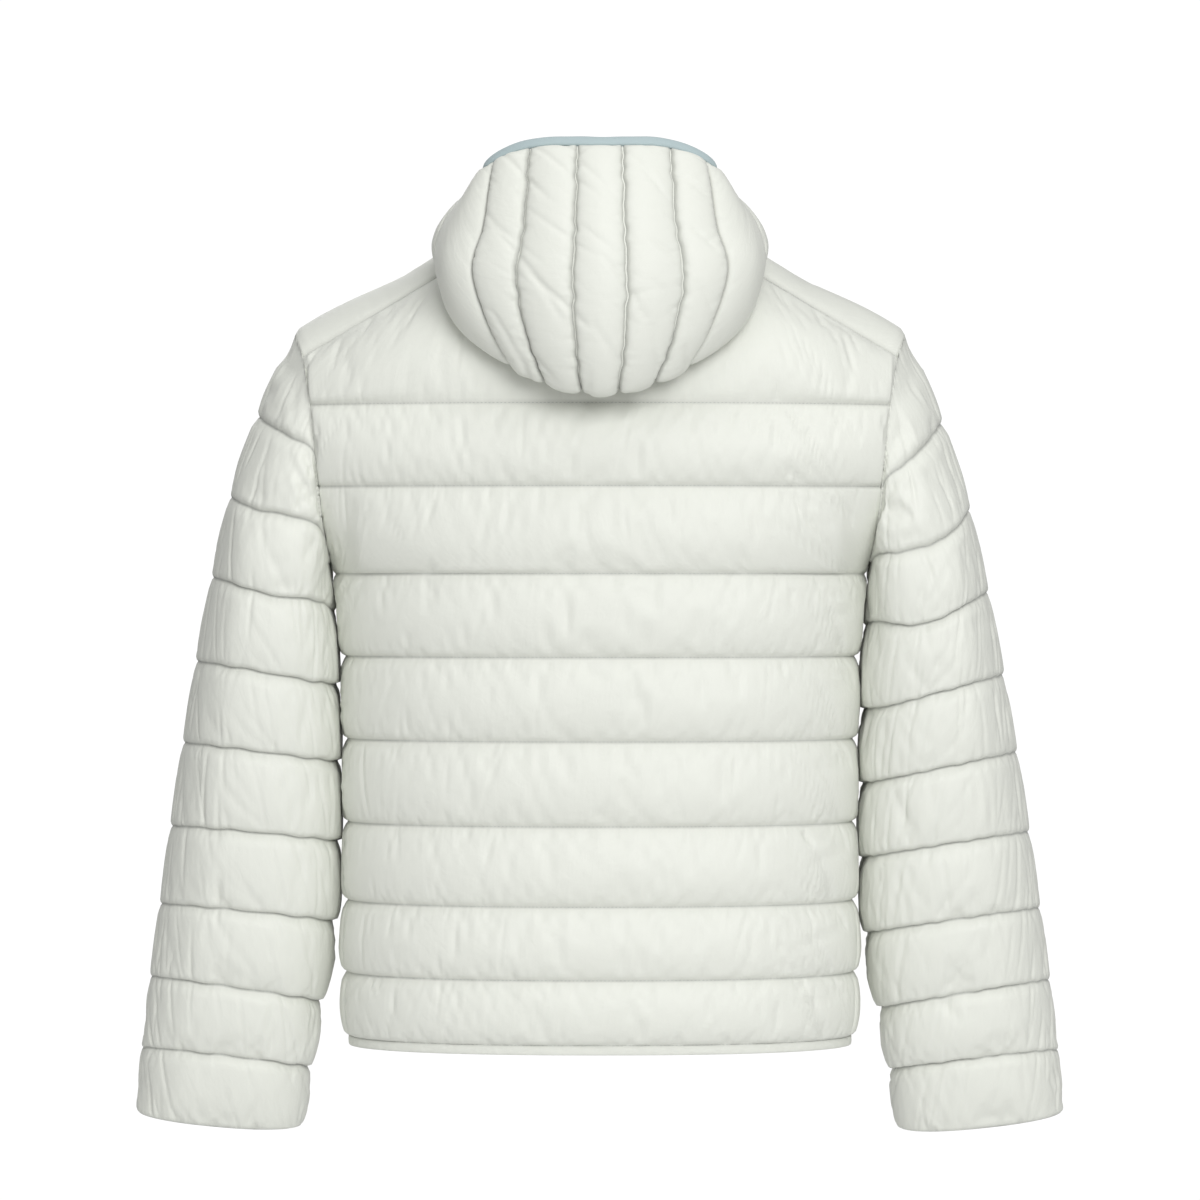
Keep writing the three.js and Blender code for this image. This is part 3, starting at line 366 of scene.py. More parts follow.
# %% Rows of a panel: denser beside each seam
def rows_between(seams, count):
    step = np.arange(count) / count
    step = 0.55 * step + 0.45 * (1 - np.cos(math.pi * step)) / 2
    rows = [low + (high - low) * step for low, high in zip(seams[:-1], seams[1:])]
    return np.append(np.concatenate(rows), seams[-1])


def band_place(level, seams):
    band = np.clip(np.searchsorted(seams, level, side="right") - 1, 0, len(seams) - 2)
    return band, (level - seams[band]) / (seams[band + 1] - seams[band])


def outward_normals(sheet, along, level, sign):
    step = 0.004
    run = sheet(along + step, level) - sheet(along - step, level)
    fall = sheet(along, level + step) - sheet(along, level - step)
    return unit(np.cross(run, fall)) * sign


# %% Grids as faces
def grid_faces(rows, columns, closed=False):
    row, column = np.mgrid[0:rows - 1, 0:columns if closed else columns - 1]
    right = (column + 1) % columns
    corners = [row * columns + column, row * columns + right,
               (row + 1) * columns + right, (row + 1) * columns + column]
    return np.stack(corners, -1).reshape(-1, 4)


def without_flat_faces(points, faces):
    a, b, c, d = (points[faces[:, i]] for i in range(4))
    area = np.linalg.norm(np.cross(c - a, d - b), axis=1)
    return faces[area > 1e-3]


def mesh_object(name, points, faces, smooth=True):
    mesh = bpy.data.meshes.new(name)
    mesh.from_pydata((points * MM).tolist(), [], [list(face) for face in faces])
    if smooth:
        mesh.shade_smooth()
    made = bpy.data.objects.new(name, mesh)
    bpy.context.scene.collection.objects.link(made)
    return made


# %% Pressure on pinned cloth
SIM_FRAMES = 14


def welded(points, faces):
    """Points that lie on each other become one, and faces lose the corners that this joins."""
    _, first, number = np.unique(np.round(points, 3), axis=0, return_index=True, return_inverse=True)
    number = number.ravel()
    kept = []
    for face in number[faces].tolist():
        corners = [c for i, c in enumerate(face) if c != face[i - 1]]
        if len(corners) > 2:
            kept.append(corners)
    return points[first], kept, number


def swell_cloth(name, points, faces, pinned, pressure, extra):
    points, faces, number = welded(points, faces)
    held = np.zeros(len(points), bool)
    np.logical_or.at(held, number, pinned)
    cloth = mesh_object(name + "_trial", points, faces)
    pins = cloth.vertex_groups.new(name="seams")
    pins.add(np.flatnonzero(held).tolist(), 1.0, "REPLACE")
    made = cloth.modifiers.new("Cloth", "CLOTH")
    settings = made.settings
    settings.quality = 5
    settings.vertex_group_mass = "seams"
    settings.mass = 0.1
    settings.tension_stiffness = settings.compression_stiffness = 12
    settings.shear_stiffness = 4
    settings.bending_stiffness = 0.25
    settings.air_damping = 2
    settings.use_pressure = True
    settings.uniform_pressure_force = pressure
    settings.shrink_min = -extra
    settings.effector_weights.gravity = 0
    made.collision_settings.use_collision = False
    made.point_cache.frame_end = SIM_FRAMES
    scene = bpy.context.scene
    for frame_number in range(1, SIM_FRAMES + 1):
        scene.frame_set(frame_number)
    shown = cloth.evaluated_get(bpy.context.evaluated_depsgraph_get())
    found = np.empty(len(points) * 3)
    shown.data.vertices.foreach_get("co", found)
    bpy.data.objects.remove(cloth)
    scene.frame_set(1)
    return found.reshape(-1, 3)[number] / MM


# %% Reading a coarse grid at fine places
def resample(values, old, new, axis):
    values = np.moveaxis(values, axis, 0)
    row = np.clip(np.searchsorted(old, new, side="right") - 1, 0, len(old) - 2)
    part = ((new - old[row]) / (old[row + 1] - old[row]))[:, None, None]
    return np.moveaxis(values[row] * (1 - part) + values[row + 1] * part, 0, axis)


# %% [markdown]
# ## Puckers and creases
# Thread gathers the cloth a little at each stitch, so short folds run off the seam, each
# one a few millimetres wide. They are cut into the fine grid as shallow valleys with a
# random place, lean and length. The seed is fixed, so every run gives the same jacket.


# %% Valleys that run off a seam
def pucker(height, run, drop, seam_row, reach_rows, rng, size):
    """Cuts valleys into height on one side of a seam row, in a window of rows."""
    rows = slice(*sorted((seam_row, seam_row + reach_rows)))
    away = np.abs(drop[rows] - drop[seam_row if seam_row < len(drop) else -1])
    length = run[rows].max()
    count = max(int(length / size["spacing"]), 4)
    middle = (np.arange(count) + rng.uniform(-0.4, 0.4, count)) * length / count
    lean = rng.normal(0, size["lean"], count)
    reach = size["reach"] * rng.lognormal(0, 0.45, count)
    deep = size["deep"] * rng.uniform(0.35, 1.3, count)
    wide = size["wide"] * rng.uniform(0.7, 1.4, count)
    for index in range(count):
        centre = middle[index] + lean[index] * away
        near = np.clip(1 - away / reach[index], 0, 1)
        height[rows] -= deep[index] * near * np.exp(-(((run[rows] - centre) / wide[index]) ** 2))


def crease(height, run, drop, line):
    """Cuts one long soft valley: line has start and end as (along, down), how deep and how wide."""
    start, end, deep, wide = np.array(line[0], float), np.array(line[1], float), line[2], line[3]
    step = end - start
    long = np.linalg.norm(step)
    if long < 4:
        return
    part = ((run - start[0]) * step[0] + (drop - start[1]) * step[1]) / long**2
    off = ((run - start[0]) * step[1] - (drop - start[1]) * step[0]) / long
    taper = np.sin(math.pi * np.clip(part, 0, 1)) ** 0.7
    height -= deep * taper * np.exp(-((off / wide) ** 2))


def falling_creases(rng, span, count, lean, deep, wide):
    """Creases that run down a baffle; span gives its left, right, top and bottom in millimetres."""
    left, right, top, bottom = span
    found = []
    for place in left + (right - left) * (np.arange(count) + rng.uniform(0.1, 0.9, count)) / count:
        high, low = np.sort(rng.uniform(-0.05, 1.05, 2))
        if low - high < 0.45:
            high, low = (0, low + 0.3) if rng.random() < 0.5 else (high - 0.3, 1)
        slant = rng.normal(lean, 0.22) * (low - high) * (bottom - top)
        tall = bottom - top
        found.append(((place, top + high * tall), (place + slant, top + low * tall),
                      deep * rng.uniform(0.4, 1.2), wide * rng.uniform(0.7, 1.3)))
    return found


def fan(rng, corner, reach, angles, deep, wide):
    """Creases that spread from one end of a seam, in degrees below the seam."""
    found = []
    for angle in angles:
        turn = math.radians(angle + rng.normal(0, 3))
        far = abs(reach) * rng.uniform(0.65, 1.15)
        tip = (corner[0] + math.copysign(far, reach) * math.cos(turn), corner[1] + far * math.sin(turn))
        found.append((corner, tip, deep * rng.uniform(0.6, 1.2), wide))
    return found


def waves(run, rng, shortest, longest):
    """A wandering line with values between about -1 and 1."""
    found = 0
    for length in rng.uniform(shortest, longest, 4):
        found = found + np.sin(run * 2 * math.pi / length + rng.uniform(0, 6.28))
    return found / 2.2


def lengths(points):
    """Distance along a grid's columns and rows, in millimetres."""
    run = np.zeros(points.shape[:2])
    drop = np.zeros(points.shape[:2])
    run[:, 1:] = np.cumsum(np.linalg.norm(np.diff(points, axis=1), axis=2), 1)
    drop[1:] = np.cumsum(np.linalg.norm(np.diff(points, axis=0), axis=2), 0)
    return run, drop


# %% The flat face where a sleeve lies on the body
CONTACT_HEIGHTS = (-760, -697, -640, -571, -502, -433, -367, -300, -262)
CONTACT_PLACES = (242, 235, 229, 223, 221.5, 221.8, 223, 225.5, 232)


def press_flat(points, keep_within):
    """The body stays inside the contact face, and the sleeves outside it, 0.7 mm away."""
    place = np.interp(points[..., 2], CONTACT_HEIGHTS, CONTACT_PLACES)
    low = points[..., 2] < CONTACT_HEIGHTS[-1]
    size, side = np.abs(points[..., 0]), np.sign(points[..., 0])
    flat = np.minimum(size, place - 0.35) if keep_within > 0 else np.maximum(size, place + 0.35)
    points[..., 0] = np.where(low, side * flat, points[..., 0])


# %% One quilted panel, from its sheet to its mesh
FINE = {"spacing": 4.6, "reach": 9, "deep": 0.6, "wide": 1.3, "lean": 0.35}
LONG = {"spacing": 15, "reach": 28, "deep": 0.75, "wide": 2.0, "lean": 0.5}
RARE = {"spacing": 26, "reach": 24, "deep": 0.5, "wide": 1.9, "lean": 0.6}
TINY = {"spacing": 6, "reach": 9, "deep": 0.8, "wide": 1.4, "lean": 0.6}
ROW_HEIGHT = 60
SEAM_WIDTH, WANDER_WIDTH = 1.15, 9
EDGE_ROUND = 7
MOST_SWELL, MOST_SLIDE = 1.7, 4
PUCKER_FADE, CREASE_FADE = 26, 9
DEEPEST_CREASE = 2.6


def quilted(name, sheet, seams, along, sign, rise, seed, rows=(8, 24), fine_columns=200,
            closed=False, share=None, extra=0.06, pressure=4.0, creases=None, least=None, sag=1.0,
            dip=1.2, waver=0.0, hang=0.0, press=0, folds=(FINE, LONG), last_share=1.0,
            painted_seam_shade=0.2):
    """Makes the outer skin of a panel and gives back its points and the base under them."""
    rng = np.random.default_rng(seed)
    seams = np.asarray(seams, float)

    def base_of(level_list, along_list):
        across, level = np.meshgrid(along_list, level_list)
        low = least(across) if least else np.full(across.shape, -1.0)
        sewn, level = level <= low, np.maximum(level, low)
        return across, level, sewn, sheet(across, level)

    coarse_levels, fine_levels = rows_between(seams, rows[0]), rows_between(seams, rows[1])
    coarse_along = np.linspace(along[0], along[1], along[2] + 1)
    fine_along = np.linspace(along[0], along[1], fine_columns + 1)
    grid_a, grid_l, sewn, coarse = base_of(coarse_levels, coarse_along)
    normals = outward_normals(sheet, grid_a, grid_l, sign)
    hold = share(grid_a, grid_l, coarse) if share else np.ones(coarse.shape[:2])
    band, part = band_place(coarse_levels, seams)
    puff = np.sqrt(np.clip(1 - (2 * part - 1) ** 2, 0, 1))[:, None]
    border = np.zeros(coarse.shape[:2], bool)
    if not closed:
        border[:, [0, -1]] = True
    seam_rows = np.isin(coarse_levels, seams)
    fixed = border | seam_rows[:, None] | sewn
    edge = np.ones(coarse.shape[:2])
    if not closed:
        run, _ = lengths(coarse)
        side_gap = np.minimum(run, run.max(1, keepdims=True) - run)
        edge = np.sqrt(np.clip(1 - (1 - np.clip(side_gap / EDGE_ROUND, 0, 1)) ** 2, 0, 1))
    lift = rise * puff * hold * edge
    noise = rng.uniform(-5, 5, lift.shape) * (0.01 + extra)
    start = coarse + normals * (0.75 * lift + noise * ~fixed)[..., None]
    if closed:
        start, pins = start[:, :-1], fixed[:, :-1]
    else:
        pins = fixed
    faces = grid_faces(start.shape[0], start.shape[1], closed)
    flat_points = start.reshape(-1, 3)
    faces = without_flat_faces(flat_points, faces)
    if facing(flat_points, faces, normals[:, :start.shape[1]].reshape(-1, 3)) < 0:
        faces = faces[:, ::-1]
    found = swell_cloth(name, flat_points, faces, pins.ravel(), pressure, extra)
    found = found.reshape(start.shape)
    if closed:
        found = np.concatenate([found, found[:, :1]], 1)
    moved = found - coarse
    out = (moved * normals).sum(-1)
    side = moved - out[..., None] * normals
    most = rise * MOST_SWELL * hold
    slide = np.maximum(np.linalg.norm(side, axis=-1), 1e-6)
    side *= np.clip(MOST_SLIDE / slide, 0, 1)[..., None]
    moved = side * hold[..., None] + normals * np.clip(out * hold, -0.3, most)[..., None]
    moved[fixed[:, :moved.shape[1]]] = 0
    usual = float(np.median(out))
    print(name, "swelled by up to", round(float(out.max()), 1), "mm, usually", round(usual, 1))
    band, part = band_place(fine_levels, seams)
    hanging = seams[band] + (seams[band + 1] - seams[band]) * part ** sag
    moved = resample(resample(moved, coarse_levels, hanging, 0), coarse_along, fine_along, 1)
    fine_a, fine_l, sewn, fine = base_of(fine_levels, fine_along)
    fine_normals = outward_normals(sheet, fine_a, fine_l, sign)
    run, drop = lengths(fine)
    band, part = band_place(fine_levels, seams)
    height = np.zeros(fine.shape[:2])
    per_band = rows[1]
    for seam in range(len(seams)):
        row = seam * per_band
        for reach in (per_band // 2, -(per_band // 2)):
            if 0 <= row + reach <= len(fine_levels) - 1:
                for size in folds:
                    pucker(height, run, drop, row, reach, rng, size)
    height *= np.minimum(1, PUCKER_FADE * np.minimum(part, 1 - part))[:, None]
    near_seam = np.minimum(part, 1 - part)[:, None]
    if creases:
        valleys = np.zeros(height.shape)
        for line in creases(rng, run, drop, per_band):
            crease(valleys, run, drop, line)
        height += np.maximum(valleys, -DEEPEST_CREASE) * np.minimum(1, CREASE_FADE * near_seam)
    height[sewn] = 0
    height[band == len(seams) - 2] *= last_share
    height = height - dip * np.exp(-((near_seam * ROW_HEIGHT / SEAM_WIDTH) ** 2)) * ~sewn
    points = fine + moved + fine_normals * height[..., None]
    bulge = np.clip((moved * fine_normals).sum(-1), 0, 20)
    points[..., 2] -= hang * bulge * part[:, None] ** 1.5
    if waver:
        down = unit(np.gradient(fine, axis=0))
        wander = waver * waves(run, rng, 12, 45) * np.exp(-((near_seam * ROW_HEIGHT / WANDER_WIDTH) ** 2))
        wander[:per_band // 2] = wander[-(per_band // 2):] = 0
        points += down * (wander * ~sewn)[..., None]
    if press:
        press_flat(points, press)
    row_of_seam = np.arange(len(seams)) * per_band
    away = np.abs(drop[:, None] - drop[None, row_of_seam]).min(1)
    # Painted shade: a thin dark line along each seam and a fainter band a few millimetres wide beside it, standing in
    # for the shade in the seam's valley.
    shade = painted_seam_shade * np.exp(-((away / 1.1) ** 2)) + 0.2 * painted_seam_shade * np.exp(-((away / 4) ** 2))
    return {"name": name, "points": points, "shade": shade * ~sewn, "base": fine,
            "normals": fine_normals, "run": run, "drop": drop, "closed": closed,
            "levels": fine_levels, "along": fine_along, "seams": seams, "per_band": per_band}


def facing(points, faces, normals):
    a, b, c, d = (points[faces[:, i]] for i in range(4))
    return float((np.cross(c - a, d - b) * normals[faces[:, 0]]).sum())


# %% The wall behind the skin
def walled(made, step=6):
    """Closes a panel: the fine outer skin, a coarse inner one, and the folded edges between."""
    points = made["points"]
    rows, columns = points.shape[:2]
    closed = made["closed"]
    used = columns - 1 if closed else columns
    row_ids = np.unique(np.append(np.arange(0, rows, step), rows - 1))
    column_ids = np.unique(np.append(np.arange(0, columns, step), columns - 1))
    if closed:
        column_ids = column_ids[:-1]
    inner = (made["base"] - WALL * made["normals"])[np.ix_(row_ids, column_ids)]
    outer_ids = np.arange(rows * used).reshape(rows, used)
    inner_ids = rows * used + np.arange(inner.shape[0] * inner.shape[1]).reshape(inner.shape[:2])
    every = np.concatenate([points[:, :used].reshape(-1, 3), inner.reshape(-1, 3)])
    outer_faces = without_flat_faces(every, grid_faces(rows, used, closed))
    inner_faces = without_flat_faces(every, grid_faces(*inner.shape[:2], closed)[:, ::-1] + rows * used)
    faces = outer_faces.tolist() + inner_faces.tolist()
    for row in (0, -1):
        for index in range(len(column_ids) - (0 if closed else 1)):
            low = column_ids[index]
            high = column_ids[index + 1] if index + 1 < len(column_ids) else columns - 1
            line = [int(outer_ids[row, i % used]) for i in range(low, high + 1)]
            back = [int(inner_ids[row, (index + 1) % len(column_ids)]), int(inner_ids[row, index])]
            face = line + back
            faces.append(face[::-1] if row == 0 else face)
    if not closed:
        for column in (0, -1):
            for index in range(len(row_ids) - 1):
                line = [int(outer_ids[i, column]) for i in range(row_ids[index], row_ids[index + 1] + 1)]
                face = line + [int(inner_ids[index + 1, column]), int(inner_ids[index, column])]
                faces.append(face if column == 0 else face[::-1])
    return every, faces, used


def sew_mesh(made, material, body="jacket", node=None):
    every, faces, used = walled(made)
    panel = mesh_object(made["name"], every, faces)
    mesh = panel.data
    outer = made["points"].shape[0] * used
    uv = np.zeros((len(every), 2))
    uv[:outer, 0] = made["run"][:, :used].ravel() * MM
    uv[:outer, 1] = made["drop"][:, :used].ravel() * MM
    layer = mesh.uv_layers.new(name="cloth")
    loops = np.empty(len(mesh.loops), int)
    mesh.loops.foreach_get("vertex_index", loops)
    layer.data.foreach_set("uv", uv[loops].ravel())
    # The painted seam shade goes onto the outer skin as a point attribute; the inner skin gets none.
    shade = np.zeros(len(every))
    shade[:outer] = made["shade"][:, :used].ravel()
    mesh.attributes.new("painted_seam_shade", "FLOAT", "POINT").data.foreach_set("value", shade)
    mesh.materials.append(material)
    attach(panel, body)
    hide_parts(node or made["name"].replace("_quilt", ""))
    print(panel.name, "has", sum(len(face) - 2 for face in faces), "triangles")
    return panel

# %% [markdown]
# ## Finishes
# The shell is a light nylon: almost matt, with a faint sheen at grazing angles and a weave
# too fine to see from a step away. A Principled shader with a little sheen gives that, and
# its bump comes from a very fine weave and from soft crinkles. Both are read from the
# panel's own cloth lengths, so they run with the cloth and not with the room. Along each
# seam the colour is darkened as painted shade, standing in for the shade in the seam's valley.


# %% A cloth finish with weave and crinkles
def cloth_finish(name, colour, roughness, sheen, weave_mm, weave_deep, crinkle_deep, vary, streak_deep=0.0):
    material = bpy.data.materials.new(name)
    material.use_nodes = True
    nodes, links = material.node_tree.nodes, material.node_tree.links
    shader = nodes["Principled BSDF"]
    shader.inputs["Roughness"].default_value = roughness
    shader.inputs["Sheen Weight"].default_value = sheen
    shader.inputs["Sheen Roughness"].default_value = 0.45
    shader.inputs["Specular IOR Level"].default_value = 0.35
    place = nodes.new("ShaderNodeUVMap")
    place.uv_map = "cloth"

    def wave(direction):
        found = nodes.new("ShaderNodeTexWave")
        found.bands_direction = direction
        found.inputs["Scale"].default_value = 1000 / weave_mm / 6.2832 * 2
        links.new(place.outputs["UV"], found.inputs["Vector"])
        return found.outputs["Fac"]

    weave = nodes.new("ShaderNodeMath")
    weave.operation = "MULTIPLY"
    links.new(wave("X"), weave.inputs[0])
    links.new(wave("Y"), weave.inputs[1])
    crinkle = nodes.new("ShaderNodeTexNoise")
    crinkle.inputs["Scale"].default_value = 95
    crinkle.inputs["Detail"].default_value = 5
    crinkle.inputs["Distortion"].default_value = 0.6
    links.new(place.outputs["UV"], crinkle.inputs["Vector"])
    narrow = nodes.new("ShaderNodeMapping")
    narrow.inputs["Scale"].default_value = (1, 0.16, 1)
    links.new(place.outputs["UV"], narrow.inputs["Vector"])
    streak = nodes.new("ShaderNodeTexNoise")
    streak.inputs["Scale"].default_value = 260
    streak.inputs["Detail"].default_value = 3
    links.new(narrow.outputs["Vector"], streak.inputs["Vector"])
    patch = nodes.new("ShaderNodeTexNoise")
    patch.inputs["Scale"].default_value = 9
    patch.inputs["Detail"].default_value = 2
    links.new(place.outputs["UV"], patch.inputs["Vector"])
    shade = nodes.new("ShaderNodeMix")
    shade.data_type = "RGBA"
    shade.inputs["A"].default_value = (*[c * (1 - vary) for c in colour], 1)
    shade.inputs["B"].default_value = (*[min(c * (1 + vary), 1) for c in colour], 1)
    links.new(patch.outputs["Fac"], shade.inputs["Factor"])
    # Painted shade along the seams: where the attribute is high, the base colour is mixed towards a quarter of itself.
    seam = nodes.new("ShaderNodeAttribute")
    seam.attribute_name = "painted_seam_shade"
    painted_seam_shadow = nodes.new("ShaderNodeMix")
    painted_seam_shadow.data_type = "RGBA"
    painted_seam_shadow.inputs["B"].default_value = (*[c * 0.25 for c in colour], 1)
    links.new(seam.outputs["Fac"], painted_seam_shadow.inputs["Factor"])
    links.new(shade.outputs["Result"], painted_seam_shadow.inputs["A"])
    links.new(painted_seam_shadow.outputs["Result"], shader.inputs["Base Color"])
    first = nodes.new("ShaderNodeBump")
    first.inputs["Distance"].default_value = crinkle_deep * MM
    first.inputs["Strength"].default_value = 0.5
    links.new(crinkle.outputs["Fac"], first.inputs["Height"])
    second = nodes.new("ShaderNodeBump")
    second.inputs["Distance"].default_value = weave_deep * MM
    second.inputs["Strength"].default_value = 0.4
    links.new(weave.outputs["Value"], second.inputs["Height"])
    links.new(first.outputs["Normal"], second.inputs["Normal"])
    third = nodes.new("ShaderNodeBump")
    third.inputs["Distance"].default_value = streak_deep * MM
    third.inputs["Strength"].default_value = 0.5
    links.new(streak.outputs["Fac"], third.inputs["Height"])
    links.new(second.outputs["Normal"], third.inputs["Normal"])
    links.new(third.outputs["Normal"], shader.inputs["Normal"])
    return material


nylon = cloth_finish("pale_nylon", (0.76, 0.775, 0.715), 0.5, 0.12, 0.5, 0.05, 0.7, 0.012, 0.35)
elastic = cloth_finish("blue_grey_elastic", (0.42, 0.51, 0.525), 0.8, 0.2, 1.1, 0.25, 0.4, 0.04)
tape_cloth = cloth_finish("zip_tape_weave", (0.66, 0.675, 0.64), 0.85, 0.1, 0.9, 0.15, 0.2, 0.02)


# %% Finishes without a weave
def noisy_finish(name, colour, metallic, roughness, scale, deep):
    """A finish that is read from the piece's own coordinates, for small hard things."""
    material = bpy.data.materials.new(name)
    material.use_nodes = True
    nodes, links = material.node_tree.nodes, material.node_tree.links
    shader = nodes["Principled BSDF"]
    shader.inputs["Metallic"].default_value = metallic
    place = nodes.new("ShaderNodeTexCoord")
    grain = nodes.new("ShaderNodeTexNoise")
    grain.inputs["Scale"].default_value = scale
    grain.inputs["Detail"].default_value = 4
    links.new(place.outputs["Object"], grain.inputs["Vector"])
    shade = nodes.new("ShaderNodeMix")
    shade.data_type = "RGBA"
    shade.inputs["A"].default_value = (*[c * 0.92 for c in colour], 1)
    shade.inputs["B"].default_value = (*[min(c * 1.06, 1) for c in colour], 1)
    links.new(grain.outputs["Fac"], shade.inputs["Factor"])
    links.new(shade.outputs["Result"], shader.inputs["Base Color"])
    rough = nodes.new("ShaderNodeMapRange")
    rough.inputs["To Min"].default_value = roughness - 0.08
    rough.inputs["To Max"].default_value = roughness + 0.08
    links.new(grain.outputs["Fac"], rough.inputs["Value"])
    links.new(rough.outputs["Result"], shader.inputs["Roughness"])
    bump = nodes.new("ShaderNodeBump")
    bump.inputs["Distance"].default_value = deep * MM
    bump.inputs["Strength"].default_value = 0.4
    links.new(grain.outputs["Fac"], bump.inputs["Height"])
    links.new(bump.outputs["Normal"], shader.inputs["Normal"])
    return material


thread = noisy_finish("sewing_thread", (0.40, 0.42, 0.40), 0, 0.7, 900, 0.05)
coil_plastic = noisy_finish("zip_coil", (0.58, 0.60, 0.57), 0, 0.4, 600, 0.02)
zip_metal = noisy_finish("zip_metal", (0.62, 0.63, 0.63), 1, 0.32, 700, 0.02)

# %% [markdown]
# ## The body panels
# The back is one piece with nine rows, the fronts are cut at the same heights and meet at
# the zip. Under the arms the body and the sleeves press flat on each other, so the filling
# has less room there, and it has little under the hood and over the shoulders.


# %% Where the filling has less room
HEM_STITCH = 8.87


def pressed(points, level):
    beside = ease(np.abs(points[..., 0]), 195, 218)
    high = (level <= UNDERARM_LEVEL) * (level > UNDERARM_LEVEL - 1)
    return 1 - 0.69 * beside * high


def back_room(part, level, points):
    under_hood = lerp(0.6, 1, np.minimum(np.abs(part) / 0.6, 1))
    return pressed(points, level) * np.where(level < 1, under_hood, 1) * hem_room(level)


def front_room(part, level, points):
    return pressed(points, level) * np.where(level < 1, lerp(0.5, 1, level), 1) * hem_room(level)


def hem_room(level):
    return np.where(level > HEM_STITCH, 0.25, 1)


BODY_SEAMS = [*range(9), HEM_STITCH, 9]

# %% Creases of the body and the sleeves
def body_creases(rng, run, drop, per_band):
    width = run.max()
    found = []
    for band in range(9):
        top, bottom = (np.median(drop[band * per_band + step]) for step in (0, per_band))
        found += falling_creases(rng, (60, width - 60, top, bottom), 8, 0.1, 0.9, 2.0)
        for spot in (top, bottom):
            angles = (8, 18, 30, 44) if spot == top else (-8, -20, -34)
            found += fan(rng, (26, spot), 95, angles, 1.7, 2.1)
            found += fan(rng, (width - 26, spot), -95, angles, 1.7, 2.1)
    return found


# %% Back
panels = {}
back = quilted("back_panel_quilt", back_sheet, BODY_SEAMS, (-1, 1, 96), 1, 8, 11,
               rows=(9, 18), fine_columns=400, share=back_room, extra=0.012, sag=1.2, press=1,
               folds=(FINE, RARE), last_share=0.25, creases=body_creases, hang=0.25)
panels["back"] = sew_mesh(back, nylon)


# %% Fronts
def mirrored(sheet, side):
    return lambda along, level: sheet(along, level) * np.array((side, 1, 1))


fronts = {}
for word, side, seed in (("left", 1, 21), ("right", -1, 22)):
    fronts[word] = quilted(f"front_{word}_quilt", mirrored(front_sheet, side), BODY_SEAMS,
                           (0, 1, 56), -side, 8, seed, rows=(8, 16), fine_columns=170,
                           share=front_room, extra=0.012, sag=1.2, press=1,
                           folds=(FINE, RARE), last_share=0.25, hang=0.25)
    panels["front_" + word] = sew_mesh(fronts[word], nylon)

# %% [markdown]
# ## The sleeves
# Each sleeve is a tube whose seams slope down towards the body. Its cap is cut to the
# armhole: rows that would lie above the cap are held on the armhole seam.


# %% Where each sleeve seam runs
# Rows by which a seam sits off an even spacing: seams run nearly straight across the sleeve,
# and the upper ones drop towards the armhole, more on the right sleeve.
STRAIGHTEN = 0.14
SEAM_DROPS = {1: (0, 0.32, 0.2, 0.05, 0), -1: (0, 0.62, 0.45, 0.12, 0)}


def seam_shift(angle, level, side):
    turn = np.mod(np.asarray(angle, float), 2 * math.pi)
    turn = np.minimum(turn, 2 * math.pi - turn) / math.pi
    straight = STRAIGHTEN * np.sin(math.pi * turn) * ease(level, 1, 2) * (1 - ease(level, 9.2, 10))
    drops = SEAM_DROPS[side]
    return np.interp(level, range(len(drops)), drops) * ease(turn, 0.05, 0.65) - straight


def first_level(side):
    """The row at which the sleeve leaves the armhole, once the seams are shifted."""

    def found(angle):
        level = cap_level(angle)
        for _ in range(14):
            level = cap_level(angle) - seam_shift(angle, level, side)
        return level
    return found


# %% Sleeves
def sleeve_of(side):
    def sheet(angle, level):
        level = level + seam_shift(angle, level, side)
        return sleeve_sheet(angle, level, side) * np.array((side, 1, 1))
    return sheet


def sleeve_room(side):
    def room(angle, level, points):
        near = ease(-np.cos(angle), 0.45, 0.85) * (1 - ease(level, 6.4, 7.4)) * (1 - ease(level, 2.6, 3.4))
        start = np.clip((level - first_level(side)(angle)) / 0.35, 0, 1)
        outer = lerp(0.85, 0.4, ease(level, 0.7, 1.3))
        taut = lerp(1, outer, ease(np.cos(angle), 0.3, 0.9))
        return (1 - 0.58 * near) * start * taut
    return room


def sleeve_creases(gathers):
    """gathers tells how many creases the outer side of each baffle has."""

    def found_for(rng, run, drop, per_band):
        found = []
        around = run[-1].max()
        for band, count in enumerate(gathers):
            rows = slice(band * per_band, (band + 1) * per_band + 1)
            for middle, half, share in ((0, 0.1, 1), (1, 0.1, 1), (0.25, 0.16, 0.9), (0.75, 0.16, 0.9)):
                column = int(middle * (run.shape[1] - 1))
                top, bottom = drop[rows][0, column], drop[rows][-1, column]
                left, right = (run[rows].max() * (middle + step) for step in (-half, half))
                lean = 0.05 if middle in (0, 1) else 0.3 * np.sign(0.5 - middle)
                found += falling_creases(rng, (max(left, 0), right, top, bottom), max(int(count * share), 1),
                                         lean, 1.3, 1.7)
            column = run.shape[1] // 2
            for place, reach in ((0.42, -70), (0.58, 70)):
                top = drop[band * per_band, column]
                found += fan(rng, (around * place, top), reach, (8, 26, 44), 1.2, 2.8)
        return found
    return found_for


